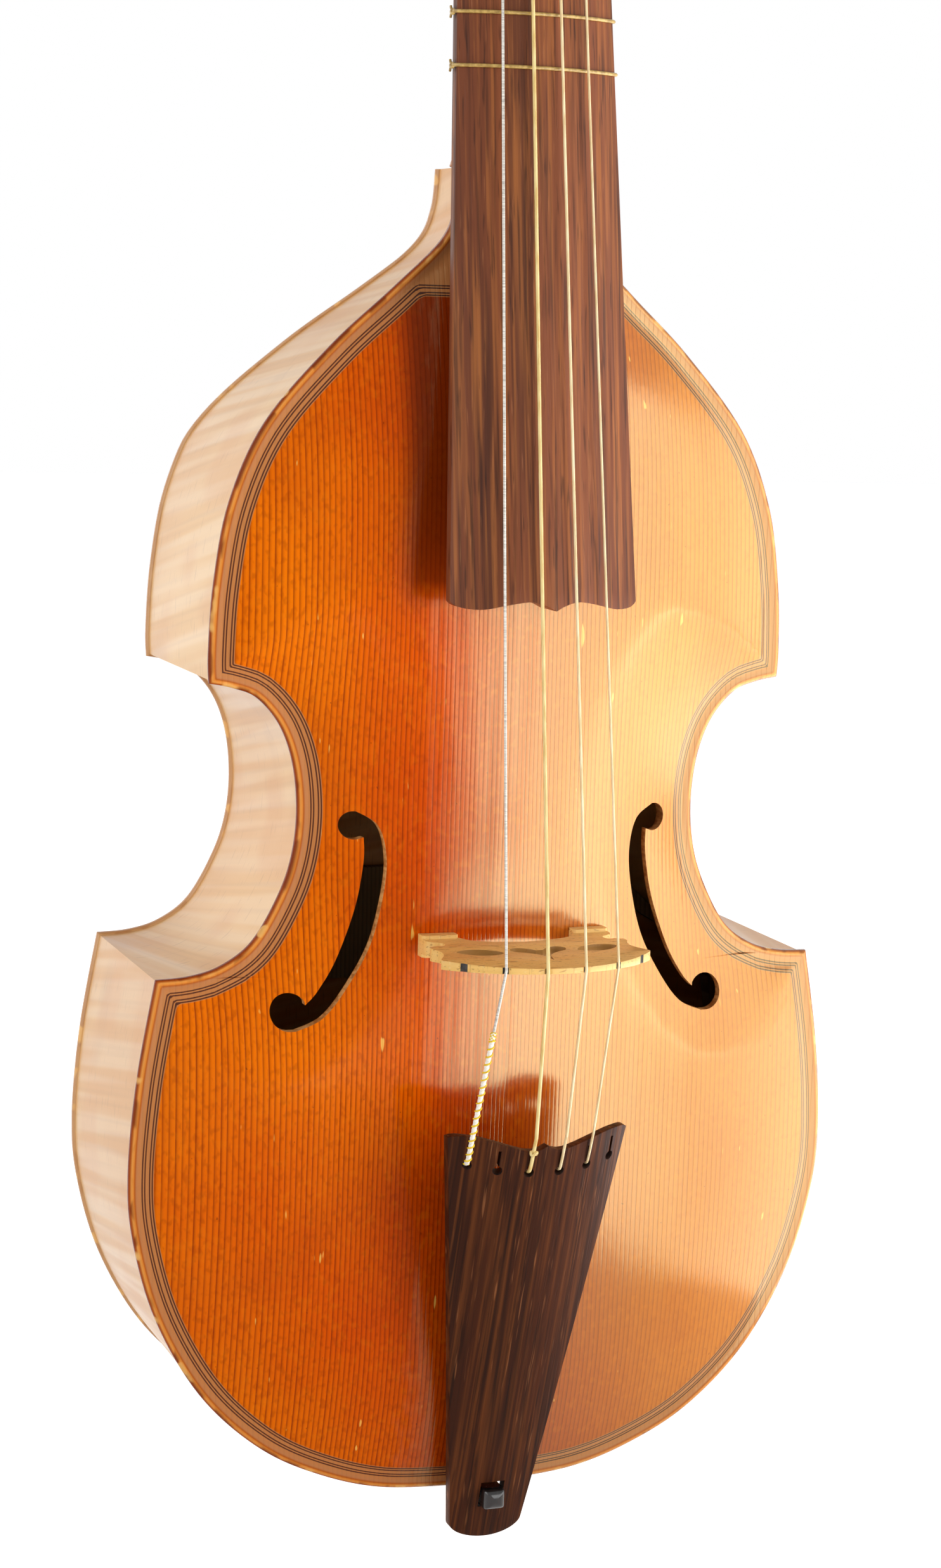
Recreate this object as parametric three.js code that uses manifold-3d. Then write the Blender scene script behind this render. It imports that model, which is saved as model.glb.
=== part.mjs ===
// A treble viola da gamba, upright, with four of its six strings on.
//
// Millimetres. The exported group has +Z up: the strings run up, the belly faces -Y and the treble side is
// at +X. Its origin is on the flat back, on the centre line, level with the bridge.
//
// Inside the group the parts lie as on a bench, back down: x runs to the treble side, y from the bridge line
// towards the head, and z up from the back's outer face.

import * as THREE from "three";
import { mergeVertices } from "three/addons/utils/BufferGeometryUtils.js";
import Module from "manifold-3d";

const wasm = await Module();
wasm.setup();

// Clearances
const GLUE_GAP = 0.3;
const TURNING_GAP = 0.1;
const STRING_GAP = 0.3;
const OVERRUN = 5;

// Body plan
const LOWER_BOUT_LENGTH = 156.7;
const WAIST_LENGTH = 82.5;
const UPPER_BOUT_LENGTH = 142.5;
const BRIDGE_ABOVE_CORNERS = 9.8;
const LOWER_HALF = 107;
const LOWER_CORNER_HALF = 100;
const WAIST_HALF = 60.2;
const UPPER_CORNER_HALF = 86.2;
const UPPER_HALF = 86.5;
const lowerBoutShares = [
  [0, 0], [0.275, 0.013], [0.48, 0.057], [0.645, 0.122], [0.8, 0.228],
  [0.92, 0.373], [0.985, 0.525], [1, 0.65], [0.98, 0.82],
];
const lowerWaistShares = [
  [1, 0], [0.76, 0.007], [0.53, 0.039], [0.307, 0.119], [0.123, 0.273], [0.03, 0.41], [0, 0.565],
];
const upperWaistShares = [[0.058, 0.727], [0.215, 0.857], [0.473, 0.95], [0.74, 0.984], [1, 1]];
const upperBoutShares = [
  [1, 0.06], [0.987, 0.194], [0.941, 0.35], [0.829, 0.503], [0.616, 0.653],
  [0.417, 0.764], [0.259, 0.858], [0.214, 0.925], [0.208, 1],
];
const OUTLINE_STEPS = 2;

// Plates and ribs
const BODY_DEPTH = 72;
const BELLY_EDGE = 3.6;
const BELLY_THICKNESS = 2.8;
const BACK_THICKNESS = 3;
const EDGE_OVERHANG = 0.8;
const RIB_THICKNESS = 1.6;
const ARCH_RISE = 12.5;
const ARCH_RUN = 40;
const CHANNEL_WIDTH = 3.5;
const GLUE_MARGIN = 8;
const LONG_FALL_SHARE = 0.45;
const CROSS_FALL_SHARE = 0.35;
const SOFTENING_SHARE = 0.04;
const bellyColumns = [[0.3, 18], [0.6, 36], [0.8, 58]];
const bellyMargins = [[0.12, 8], [0.05, 3.5]];

// The back's bend towards the neck
const BEND_START = 134;
const NECK_END_DEPTH = 21;
const bendShares = [[0, 0], [0.07, 0.035], [0.25, 0.25], [0.48, 0.585], [0.65, 0.85], [0.75, 0.94], [1, 1]];
const BEND_STEPS = 18;

// Sound holes: the middle of each end ball, their radii, and the stroke between them
const HOLE_UPPER_X = 45.6;
const HOLE_UPPER_Y = 33.2;
const HOLE_LEAN = 18.1;
const HOLE_LENGTH = 52.2;
const HOLE_UPPER_RADIUS = 4;
const HOLE_LOWER_RADIUS = 5.3;
const HOLE_SIDES = 12;
const strokeInnerShares = [
  [-0.03, 1.077], [-0.36, 1], [-0.486, 0.822], [-0.425, 0.603], [-0.232, 0.352],
  [0.138, 0.119], [0.497, -0.034], [0.906, -0.1],
];
const strokeOuterShares = [
  [0.751, 0.038], [0.558, 0.111], [0.27, 0.282], [-0.022, 0.559], [-0.149, 0.803], [-0.149, 0.937],
];

// Blocks, linings, bar, post and braces
const TAIL_BLOCK_HALF = 22;
const TAIL_BLOCK_DEPTH = 14;
const NECK_BLOCK_DEPTH = 24;
const CORNER_BLOCK_BOUT = 20;
const CORNER_BLOCK_WAIST = 16;
const LINING_WIDTH = 4;
const LINING_HEIGHT = 6;
const BAR_X = -18.5;
const BAR_WIDTH = 5;
const BAR_LENGTH = 270;
const BAR_CENTRE_Y = 8;
const BAR_DEPTH = 9;
const BAR_END_DEPTH = 2.5;
const BAR_STEPS = 10;
const POST_X = 19;
const POST_Y = -9;
const POST_RADIUS = 3.5;
const POST_PLATE_HALF = 54;
const POST_PLATE_WIDTH = 34;
const POST_PLATE_THICKNESS = 4;
const BRACE_WIDTH = 12;
const BRACE_THICKNESS = 6;
const LOWER_BRACE_Y = -96;
const UPPER_BRACE_Y = 118;
const BRACE_END_ROOM = 3;

// Fingerboard and nut
const NUT_Y = 362;
const NUT_LENGTH = 5;
const NUT_HEIGHT = 2.3;
const NUT_HALF_SPREAD = 17.4;
const nutStringShares = [0.2, 0.6, 1];
const BOARD_END_Y = 98.8;
const BOARD_END_HALF = 27.4;
const BOARD_NUT_HALF = 19.6;
const BOARD_END_RISE = 28.2;
const BOARD_NUT_RISE = -6;
const BOARD_RADIUS = 45;
const BOARD_EDGE = 3.2;
const BOARD_OGEE_DEPTH = 2.7;
const boardOgeeShares = [
  [1, 0.02], [0.95, -0.6], [0.85, -0.95], [0.7, -0.95], [0.5, -0.5], [0.27, -0.1], [0.12, -0.4], [0, -1],
];
const BOARD_ARC_STEPS = 8;
const BOARD_LENGTH_STEPS = 6;

// Neck and heel
const NECK_INSET = 1;
const HEEL_INSET = 6;
const NECK_DEPTH = 12;
const NECK_ROOT_DEPTH = 14;
const HEEL_LENGTH = 18;
const HEEL_CURVE = 2.5;
const NECK_ROUNDNESS = 2.3;
const HEEL_ROUNDNESS = 4;
const NECK_ARC_STEPS = 10;

// Pegbox and scroll, in the pegbox's own frame: u along it from the nut, v towards its front
const PEGBOX_TILT = THREE.MathUtils.degToRad(21);
const PEGBOX_LENGTH = 112;
const PEGBOX_FRONT = 3;
const PEGBOX_BACK = 20;
const PEGBOX_START = 10;
const pegboxBackShares = [[-0.08, 0.5], [0, 0.66], [0.1, 0.9], [0.22, 1], [0.45, 0.96], [0.75, 0.8], [1, 0.63]];
const PEGBOX_HALF = 19.4;
const PEGBOX_END_HALF = 11.5;
const pegboxHalfShares = [[-0.08, 0.4], [-0.03, 0.75], [0.03, 1], [1, 0]];
const CHEEK = 4.5;
const FLOOR = 4.5;
const HOLLOW_START = 6;
const HOLLOW_END_ROOM = 8;
const PEGBOX_STEPS = 12;
const SCROLL_RADIUS = 13;
const SCROLL_FORWARD = 6;
const SCROLL_TURNS = 2;
const SCROLL_START = THREE.MathUtils.degToRad(-105);
const SCROLL_SHRINK = 0.11;
const SCROLL_CORE_SHARE = 0.46;
const SCROLL_EYE_HALF = 17;
const SCROLL_STEPS = 12;

// Pegs
const PEG_FIRST_SHARE = 0.16;
const PEG_SPACING_SHARE = 0.134;
const PEG_HEIGHT = -5;
const PEG_HEAD_RADIUS = 3.9;
const PEG_TIP_RADIUS = 3.2;
const PEG_TIP_OUT = 0.8;
const COLLAR_RADIUS = 5.4;
const COLLAR_OUT = 3;
const COLLAR_LENGTH = 3;
const PEG_NECK_RADIUS = 3;
const PEG_NECK_LENGTH = 3;
const THUMB_LENGTH = 17;
const THUMB_HALF = 10.5;
const THUMB_THICKNESS = 5;
const thumbShares = [
  [0, -0.22], [0.12, -0.5], [0.35, -0.9], [0.62, -1], [0.88, -0.72], [1, -0.25],
  [1, 0.25], [0.88, 0.72], [0.62, 1], [0.35, 0.9], [0.12, 0.5], [0, 0.22],
];
const PEG_SIDES = 12;

// Frets
const FRETS = 7;
const FRET_RADIUS = 0.5;
const FRET_SIDES = 5;
const FRET_KNOT_RADIUS = 1.3;

// Bridge
const BRIDGE_RISE = 54.6;
const BRIDGE_RADIUS = 40;
const BRIDGE_HALF = 31;
const BRIDGE_HALF_SPREAD = 26.4;
const stringShares = [0.212, 0.625, 1];
const BRIDGE_FOOT_DEPTH = 6.2;
const BRIDGE_LOW_THICKNESS = 4.6;
const BRIDGE_TOP_THICKNESS = 1.5;
const BRIDGE_FOOT_HALF = 28;
const BRIDGE_FOOT_INNER = 17.5;
const BRIDGE_FOOT_HEIGHT = 5;
const BRIDGE_ARCH_RISE = 23.5;
const BRIDGE_NOTCH_HALF = 24;
const BRIDGE_TIP = 1.6;
const BRIDGE_TOP_STEPS = 14;
const HEART_HALF = 6.7;
const HEART_HEIGHT = 13;
const HEART_RISE = 31;
const heartShares = [
  [0, 1], [0.16, 0.62], [0.55, 0.4], [0.95, 0.26], [1, 0.1], [0.8, 0], [0.4, 0.06], [0.14, 0.2],
];
const LENS_X = 16.8;
const LENS_HALF = 5.6;
const LENS_RISE = 33.5;
const LENS_HEIGHT = 6;
const LENS_SIDES = 12;

// Tailpiece and the bar that it hooks over
const TAIL_TOP_Y = -49.4;
const TAIL_BOTTOM_Y = -175;
const TAIL_TIP = 4.8;
const TAIL_TOP_HALF = 26.7;
const TAIL_BOTTOM_HALF = 11.1;
const TAIL_TOP_RISE = 46;
const TAIL_BOTTOM_RISE = 7.6;
const TAIL_RADIUS = 45;
const TAIL_THICKNESS = 3.4;
const TAIL_OGEE_DEPTH = 3.4;
const tailOgeeShares = [
  [1, 0], [0.94, 0.2], [0.85, 0.24], [0.7, 0.12], [0.5, -0.3], [0.3, -0.8], [0.18, -1], [0.08, -0.9], [0, -0.55],
];
const TAIL_ARC_STEPS = 8;
const TAIL_LENGTH_STEPS = 6;
const TAIL_HOLE_HALF_SPREAD = 21.3;
const TAIL_HOLE_DOWN = 7.8;
const TAIL_HOLE_DIP = 2.3;
const TAIL_HOLE_RADIUS = 2;
const TAIL_KERF = 0.8;
const TAIL_KERF_LENGTH = 6;
const HOOK_HALF = 3.3;
const HOOK_OUT = 2.5;
const HOOK_IN = 3.7;
const HOOK_RISE = 14.8;
const HOOK_BEVEL = 1.2;
const HOOK_ROOM_ABOVE = 1.8;

// Strings, from the bass side. Two of the six are missing, and the bass one is in the outermost hole.
const strings = [
  { name: "string_bass", place: 1, hole: 2, side: -1, radius: 0.42, peg: 2 },
  { name: "string_middle_bass", place: 0, hole: 0, side: -1, radius: 0.52, peg: 4 },
  { name: "string_middle_treble", place: 0, hole: 0, side: 1, radius: 0.41, peg: 5 },
  { name: "string_treble", place: 1, hole: 1, side: 1, radius: 0.36, peg: 3 },
];
const WINDING_TURNS = 3;
const STRING_SIDES = 6;
const WINDING_STEPS = 16;
const WINDING_SPACE = 0.5;
const WINDING_START_SHARE = 0.55;
const STRING_KNOT_RADIUS = 2.4;
const SPARE_SLOT_RADIUS = 0.4;

// Places worked out from the sizes above
const LOWER_CORNER_Y = -BRIDGE_ABOVE_CORNERS;
const BODY_BOTTOM_Y = LOWER_CORNER_Y - LOWER_BOUT_LENGTH;
const UPPER_CORNER_Y = LOWER_CORNER_Y + WAIST_LENGTH;
const BODY_TOP_Y = UPPER_CORNER_Y + UPPER_BOUT_LENGTH;
const BELLY_UNDERSIDE = BODY_DEPTH - BELLY_EDGE;
const INNER_FACE = EDGE_OVERHANG + RIB_THICKNESS + GLUE_GAP;

// Woods and gut
function wood(color, roughness) {
  return new THREE.MeshStandardMaterial({ color, roughness, metalness: 0 });
}
const varnishedSpruce = wood(0xb5561a, 0.25);
const paleMaple = wood(0xd8a65c, 0.4);
const innerSpruce = wood(0xd9bd8a, 0.8);
const rosewood = wood(0x4a2c20, 0.45);
const ebony = wood(0x15110f, 0.35);
const bridgeMaple = wood(0xd0a868, 0.6);
const gut = wood(0xe6cf86, 0.4);
const woundSilver = new THREE.MeshStandardMaterial({ color: 0xb9bcc0, roughness: 0.3, metalness: 0.8 });

// Geometry helpers

// A closed solid from any closed geometry, with its faces turned outwards.
function solid(geometry) {
  const bare = geometry.clone();
  bare.deleteAttribute("normal");
  bare.deleteAttribute("uv");
  const merged = mergeVertices(bare, 1e-4);
  const vertProperties = new Float32Array(merged.attributes.position.array);
  const triVerts = new Uint32Array(merged.index.array);
  const made = new wasm.Manifold(new wasm.Mesh({ numProp: 3, vertProperties, triVerts }));
  if (made.volume() > 0) return made;
  for (let i = 0; i < triVerts.length; i += 3) [triVerts[i], triVerts[i + 1]] = [triVerts[i + 1], triVerts[i]];
  return new wasm.Manifold(new wasm.Mesh({ numProp: 3, vertProperties, triVerts }));
}

function geometryOf(made) {
  const { vertProperties, triVerts } = made.getMesh();
  const geometry = new THREE.BufferGeometry();
  geometry.setAttribute("position", new THREE.BufferAttribute(new Float32Array(vertProperties), 3));
  geometry.setIndex(new THREE.BufferAttribute(new Uint32Array(triVerts), 1));
  geometry.computeVertexNormals();
  return geometry;
}

// The triangles that close a flat ring of points, in the ring's own direction.
function capTriangles(ring) {
  const normal = new THREE.Vector3();
  ring.forEach((p, i) => normal.add(new THREE.Vector3().crossVectors(p, ring[(i + 1) % ring.length])));
  const side = [Math.abs(normal.x), Math.abs(normal.y), Math.abs(normal.z)];
  const drop = side.indexOf(Math.max(...side));
  const flat = ring.map((p) => {
    const [a, b] = p.toArray().filter((_, axis) => axis !== drop);
    return new THREE.Vector2(a, b);
  });
  const turn = (a, b, c) => (b.x - a.x) * (c.y - a.y) - (b.y - a.y) * (c.x - a.x);
  const forward = THREE.ShapeUtils.area(flat) > 0;
  return THREE.ShapeUtils.triangulateShape(flat, []).map(([a, b, c]) =>
    turn(flat[a], flat[b], flat[c]) > 0 === forward ? [a, b, c] : [a, c, b],
  );
}

// A skin over rings of points, closed at both ends, or round in a loop.
function loft(rings, looped = false) {
  const count = rings[0].length;
  const index = [];
  for (let i = 0; i < rings.length - (looped ? 0 : 1); i++) {
    const a = i * count;
    const b = ((i + 1) % rings.length) * count;
    for (let j = 0; j < count; j++) {
      const k = (j + 1) % count;
      index.push(a + j, b + j, b + k, a + j, b + k, a + k);
    }
  }
  if (!looped) {
    const last = (rings.length - 1) * count;
    capTriangles(rings[0]).forEach((t) => index.push(...t));
    capTriangles(rings.at(-1)).forEach(([a, b, c]) => index.push(last + a, last + c, last + b));
  }
  const geometry = new THREE.BufferGeometry().setFromPoints(rings.flat());
  geometry.setIndex(index);
  return geometry;
}

// A round tube through points. A flat closed loop needs the direction across its plane.
function tube(points, radius, sides, loopAcross = null) {
  const count = points.length;
  const rings = [];
  let across = loopAcross;
  points.forEach((p, i) => {
    const before = loopAcross ? points[(i + count - 1) % count] : points[Math.max(i - 1, 0)];
    const after = loopAcross ? points[(i + 1) % count] : points[Math.min(i + 1, count - 1)];
    const along = new THREE.Vector3().subVectors(after, before).normalize();
    if (!across) across = new THREE.Vector3(1, 0, 0);
    const up = new THREE.Vector3().crossVectors(along, across).normalize();
    const sideways = new THREE.Vector3().crossVectors(up, along).normalize();
    if (!loopAcross) across = sideways;
    const ring = [];
    for (let j = 0; j < sides; j++) {
      const angle = (2 * Math.PI * j) / sides;
      const out = sideways.clone().multiplyScalar(Math.cos(angle)).addScaledVector(up, Math.sin(angle));
      ring.push(p.clone().addScaledVector(out, radius));
    }
    rings.push(ring);
  });
  return loft(rings, Boolean(loopAcross));
}

// A flat shape in x and y, raised from one height to another.
function prism(points, low, high) {
  const shape = new THREE.Shape(points.map(([x, y]) => new THREE.Vector2(x, y)));
  const geometry = new THREE.ExtrudeGeometry(shape, { depth: high - low, bevelEnabled: false });
  return geometry.translate(0, 0, low);
}

function box([x0, x1], [y0, y1], [z0, z1]) {
  const geometry = new THREE.BoxGeometry(x1 - x0, y1 - y0, z1 - z0);
  return geometry.translate((x0 + x1) / 2, (y0 + y1) / 2, (z0 + z1) / 2);
}

function postAt(x, y, radius, sides, low, high) {
  const geometry = new THREE.CylinderGeometry(radius, radius, high - low, sides).rotateX(Math.PI / 2);
  return geometry.translate(x, y, (low + high) / 2);
}

function smooth(points, steps) {
  const curve = new THREE.SplineCurve(points.map(([x, y]) => new THREE.Vector2(x, y)));
  return curve.getPoints((points.length - 1) * steps);
}

function between(a, b, share) {
  return a + (b - a) * share;
}

// The height of a line through points, at a place along it.
function follow(points, place) {
  const last = points.length - 1;
  if (place <= points[0].x) return points[0].y;
  if (place >= points[last].x) return points[last].y;
  const i = points.findIndex((p) => p.x > place);
  const a = points[i - 1];
  const b = points[i];
  return between(a.y, b.y, (place - a.x) / (b.x - a.x));
}

const root = new THREE.Group();
const viol = new THREE.Group();
viol.rotation.x = Math.PI / 2;
root.add(viol);

function add(name, made, material) {
  const mesh = new THREE.Mesh(made.isBufferGeometry ? geometryOf(solid(made)) : geometryOf(made), material);
  mesh.name = name;
  viol.add(mesh);
}

function addPair(name, geometry, material) {
  const made = geometry.isBufferGeometry ? solid(geometry) : geometry;
  add(name + "_treble", made, material);
  add(name + "_bass", made.mirror([1, 0, 0]), material);
}

// The body's outline on the treble side, from the bottom up

const lowerCorner = [LOWER_CORNER_HALF, LOWER_CORNER_Y];
const upperCorner = [UPPER_CORNER_HALF, UPPER_CORNER_Y];
const lowerBout = smooth(
  [
    ...lowerBoutShares.map(([x, y]) => [x * LOWER_HALF, BODY_BOTTOM_Y + y * LOWER_BOUT_LENGTH]),
    lowerCorner,
  ],
  OUTLINE_STEPS,
);
const waist = smooth(
  [
    ...lowerWaistShares.map(([x, y]) => [
      between(WAIST_HALF, LOWER_CORNER_HALF, x),
      LOWER_CORNER_Y + y * WAIST_LENGTH,
    ]),
    ...upperWaistShares.map(([x, y]) => [
      between(WAIST_HALF, UPPER_CORNER_HALF, x),
      LOWER_CORNER_Y + y * WAIST_LENGTH,
    ]),
  ],
  OUTLINE_STEPS,
);
const upperBout = smooth(
  [upperCorner, ...upperBoutShares.map(([x, y]) => [x * UPPER_HALF, UPPER_CORNER_Y + y * UPPER_BOUT_LENGTH])],
  OUTLINE_STEPS,
);
const outline = [...lowerBout, ...waist.slice(1, -1), ...upperBout];
const halfByHeight = outline.map((p) => new THREE.Vector2(p.y, p.x));

function halfWidth(y) {
  return follow(halfByHeight, y);
}

// How far a place on the plan is from the nearest edge.
function edgeDistance(x, y) {
  const p = new THREE.Vector3(Math.abs(x), y, 0);
  const near = new THREE.Vector3();
  let least = Infinity;
  for (let i = 1; i < outline.length; i++) {
    const a = new THREE.Vector3(outline[i - 1].x, outline[i - 1].y, 0);
    const b = new THREE.Vector3(outline[i].x, outline[i].y, 0);
    new THREE.Line3(a, b).closestPointToPoint(p, true, near);
    least = Math.min(least, near.distanceTo(p));
  }
  return least;
}

// The belly's arch above its edge: steep inside the channel, flat in the middle, lower towards both ends.
function archRise(x, y) {
  const share = THREE.MathUtils.clamp((edgeDistance(x, y) - CHANNEL_WIDTH) / ARCH_RUN, 0, 1);
  const eased = (share * share) / (share + SOFTENING_SHARE);
  const middle = (BODY_TOP_Y + BODY_BOTTOM_Y) / 2;
  const along = (y - middle) / (BODY_TOP_Y - middle);
  const across = x / LOWER_HALF;
  const fall = (1 - LONG_FALL_SHARE * along * along) * (1 - CROSS_FALL_SHARE * across * across);
  return ARCH_RISE * fall * Math.min(eased * (2 - eased), 1);
}

function bellyTop(x, y) {
  return BODY_DEPTH + archRise(x, y);
}

function bellyUnder(x, y) {
  const inward = (edgeDistance(x, y) - GLUE_MARGIN) / GLUE_MARGIN;
  const hollow = Math.max(bellyTop(x, y) - BELLY_THICKNESS, BELLY_UNDERSIDE);
  return between(BELLY_UNDERSIDE, hollow, THREE.MathUtils.clamp(inward, 0, 1));
}

// The back's outer face: flat, then bent up towards the neck.
const bendLine = smooth(
  bendShares.map(([y, z]) => [
    between(BEND_START, BODY_TOP_Y, y),
    z * (BODY_DEPTH - NECK_END_DEPTH),
  ]),
  BEND_STEPS / (bendShares.length - 1),
);

function backFace(y) {
  return follow(bendLine, y);
}

function backTop(y) {
  return backFace(y) + BACK_THICKNESS;
}

// Fingerboard, strings and tailpiece heights

function boardEdge(y) {
  const share = (y - BOARD_END_Y) / (NUT_Y - BOARD_END_Y);
  return BODY_DEPTH + between(BOARD_END_RISE, BOARD_NUT_RISE, share);
}

function boardHalf(y) {
  return between(BOARD_END_HALF, BOARD_NUT_HALF, (y - BOARD_END_Y) / (NUT_Y - BOARD_END_Y));
}

function crown(x, half, radius) {
  return Math.sqrt(radius * radius - x * x) - Math.sqrt(radius * radius - half * half);
}

function boardTop(x, y) {
  return boardEdge(y) + crown(x, boardHalf(y), BOARD_RADIUS);
}

function boardUnder(y) {
  return boardEdge(y) - BOARD_EDGE;
}

function neckTop(y) {
  return boardUnder(y) - GLUE_GAP;
}

function tailCentre(y) {
  return BODY_DEPTH + between(TAIL_TOP_RISE, TAIL_BOTTOM_RISE, (y - TAIL_TOP_Y) / (TAIL_BOTTOM_Y - TAIL_TOP_Y));
}

function tailHalf(y) {
  return between(TAIL_TOP_HALF, TAIL_BOTTOM_HALF, (y - TAIL_TOP_Y) / (TAIL_BOTTOM_Y - TAIL_TOP_Y));
}

function tailTop(x, y) {
  return tailCentre(y) - (TAIL_RADIUS - Math.sqrt(TAIL_RADIUS * TAIL_RADIUS - x * x));
}

function tailHole(place, side) {
  const share = stringShares[place];
  return {
    x: side * share * TAIL_HOLE_HALF_SPREAD,
    y: TAIL_TOP_Y - TAIL_HOLE_DOWN - TAIL_HOLE_DIP * (1 - share * share),
  };
}

function bridgeTop(x) {
  return BODY_DEPTH + BRIDGE_RISE - (BRIDGE_RADIUS - Math.sqrt(BRIDGE_RADIUS * BRIDGE_RADIUS - x * x));
}

// Six slots lie across the bridge and the nut, also where a string is missing.
const slots = [-1, 1].flatMap((side) =>
  [0, 1, 2].map((place) => {
    const held = strings.find((s) => s.place === place && s.side === side);
    return { place, side, radius: held ? held.radius : SPARE_SLOT_RADIUS };
  }),
);

// The string's middle at the bridge and over the front of the nut.
function stringEnds({ place, side }) {
  const bridgeX = side * stringShares[place] * BRIDGE_HALF_SPREAD;
  const nutX = side * nutStringShares[place] * NUT_HALF_SPREAD;
  return {
    atBridge: new THREE.Vector3(bridgeX, 0, bridgeTop(bridgeX)),
    atNut: new THREE.Vector3(nutX, NUT_Y, boardTop(nutX, NUT_Y) + NUT_HEIGHT),
  };
}

// The bar that the tailpiece hooks over, let into the bottom of the body

const hookLow = BODY_BOTTOM_Y - HOOK_OUT;
const hookHigh = BODY_BOTTOM_Y + HOOK_IN;

function hookBar(grow) {
  const square = (half, low, high, z) => [
    new THREE.Vector3(-half, low, z),
    new THREE.Vector3(half, low, z),
    new THREE.Vector3(half, high, z),
    new THREE.Vector3(-half, high, z),
  ];
  const foot = BACK_THICKNESS + GLUE_GAP - grow;
  const top = BODY_DEPTH + HOOK_RISE + grow;
  return loft([
    square(HOOK_HALF + grow, hookLow - grow, hookHigh + grow, foot),
    square(HOOK_HALF + grow, hookLow - grow, hookHigh + grow, top - HOOK_BEVEL),
    square(HOOK_HALF + grow - HOOK_BEVEL, hookLow - grow + HOOK_BEVEL, hookHigh + grow - HOOK_BEVEL, top),
  ]);
}

const hookRoom = solid(hookBar(GLUE_GAP));

// Belly

function bellyPlate() {
  const rings = outline.slice(1).map(({ x: half, y }) => {
    const columns = bellyColumns.map(([share, most]) => Math.min(share * half, most));
    const margins = bellyMargins.map(([share, most]) => half - Math.min(share * half, most));
    const top = [...columns, ...margins, half];
    const under = [...columns.slice(1), half];
    const across = [...top.map((x) => -x).reverse(), 0, ...top];
    const back = [...under.slice().reverse(), 0, ...under.map((x) => -x)];
    return [
      ...across.map((x) => new THREE.Vector3(x, y, bellyTop(x, y))),
      ...back.map((x) => new THREE.Vector3(x, y, bellyUnder(x, y))),
    ];
  });
  return solid(loft(rings));
}

function soundHole(side) {
  const place = ([u, v]) => [
    side * (HOLE_UPPER_X + u * HOLE_LEAN),
    HOLE_UPPER_Y + (v - 1) * HOLE_LENGTH,
  ];
  const low = BELLY_UNDERSIDE - OVERRUN;
  const high = BODY_DEPTH + ARCH_RISE + OVERRUN;
  const [upperX, upperY] = place([0, 1]);
  const [lowerX, lowerY] = place([1, 0]);
  return solid(prism([...strokeInnerShares, ...strokeOuterShares].map(place), low, high))
    .add(solid(postAt(upperX, upperY, HOLE_UPPER_RADIUS, HOLE_SIDES, low, high)))
    .add(solid(postAt(lowerX, lowerY, HOLE_LOWER_RADIUS, HOLE_SIDES, low, high)));
}

const belly = bellyPlate().subtract(soundHole(1)).subtract(soundHole(-1)).subtract(hookRoom);
add("belly", belly, varnishedSpruce);

// Takes off what would touch the belly's underside.
function fittedUnderBelly(geometry) {
  return solid(geometry).subtract(belly.translate([0, 0, -GLUE_GAP]));
}

// Back

function backPlate() {
  const bends = bendLine.slice(1, -1).map((p) => new THREE.Vector2(halfWidth(p.x), p.x));
  const stations = [...outline.slice(1), ...bends].sort((a, b) => a.y - b.y);
  return loft(
    stations
      .filter((p, i) => i === 0 || p.y > stations[i - 1].y)
      .map(({ x: half, y }) => [
        new THREE.Vector3(-half, y, backFace(y)),
        new THREE.Vector3(half, y, backFace(y)),
        new THREE.Vector3(half, y, backTop(y)),
        new THREE.Vector3(-half, y, backTop(y)),
      ]),
  );
}

const back = solid(backPlate());
add("back", back, paleMaple);

// Takes off what would touch the back's inner face.
function fittedOnBack(geometry) {
  return solid(geometry).subtract(back.translate([0, 0, GLUE_GAP]));
}

// Ribs, linings and blocks follow the outline inside its edge

// Points of a path with their outward directions and the length run.
function walk(points) {
  let run = 0;
  return points.map((p, i) => {
    const before = points[Math.max(i - 1, 0)];
    const after = points[Math.min(i + 1, points.length - 1)];
    const along = after.clone().sub(before).normalize();
    if (i > 0) run += p.distanceTo(points[i - 1]);
    return { p, out: new THREE.Vector2(along.y, -along.x), run };
  });
}

// The part of a walked path between two lengths.
function stretch(path, from, to) {
  const at = (length) => {
    const i = Math.max(1, path.findIndex((s) => s.run >= length));
    const share = (length - path[i - 1].run) / (path[i].run - path[i - 1].run);
    return {
      p: path[i - 1].p.clone().lerp(path[i].p, share),
      out: path[i - 1].out.clone().lerp(path[i].out, share).normalize(),
      run: length,
    };
  };
  return [at(from), ...path.filter((s) => s.run > from && s.run < to), at(to)];
}

function inset({ p, out }, depth) {
  return p.clone().addScaledVector(out, -depth);
}

// Where two walls that meet at a corner cross, a given depth inside both.
function mitre(endOfOne, startOfNext, depth) {
  const sum = endOfOne.out.clone().add(startOfNext.out);
  return endOfOne.p.clone().addScaledVector(sum, -depth / (1 + endOfOne.out.dot(startOfNext.out)));
}

const lowerPath = walk(lowerBout);
const waistPath = walk(waist);
const upperPath = walk(upperBout);
const lowerEnd = lowerPath.at(-1);
const waistStart = waistPath[0];
const waistEnd = waistPath.at(-1);
const upperStart = upperPath[0];

// An upright strip between two depths, from the back or a height above it up to the belly.
function strip(pairs, low, high) {
  return loft(
    pairs.map(([outer, inner]) => [
      new THREE.Vector3(outer.x, outer.y, low(outer.y)),
      new THREE.Vector3(outer.x, outer.y, high(outer.y)),
      new THREE.Vector3(inner.x, inner.y, high(inner.y)),
      new THREE.Vector3(inner.x, inner.y, low(inner.y)),
    ]),
  );
}

const ribLow = (y) => backTop(y) + GLUE_GAP;
const ribHigh = () => BELLY_UNDERSIDE - GLUE_GAP;

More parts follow.
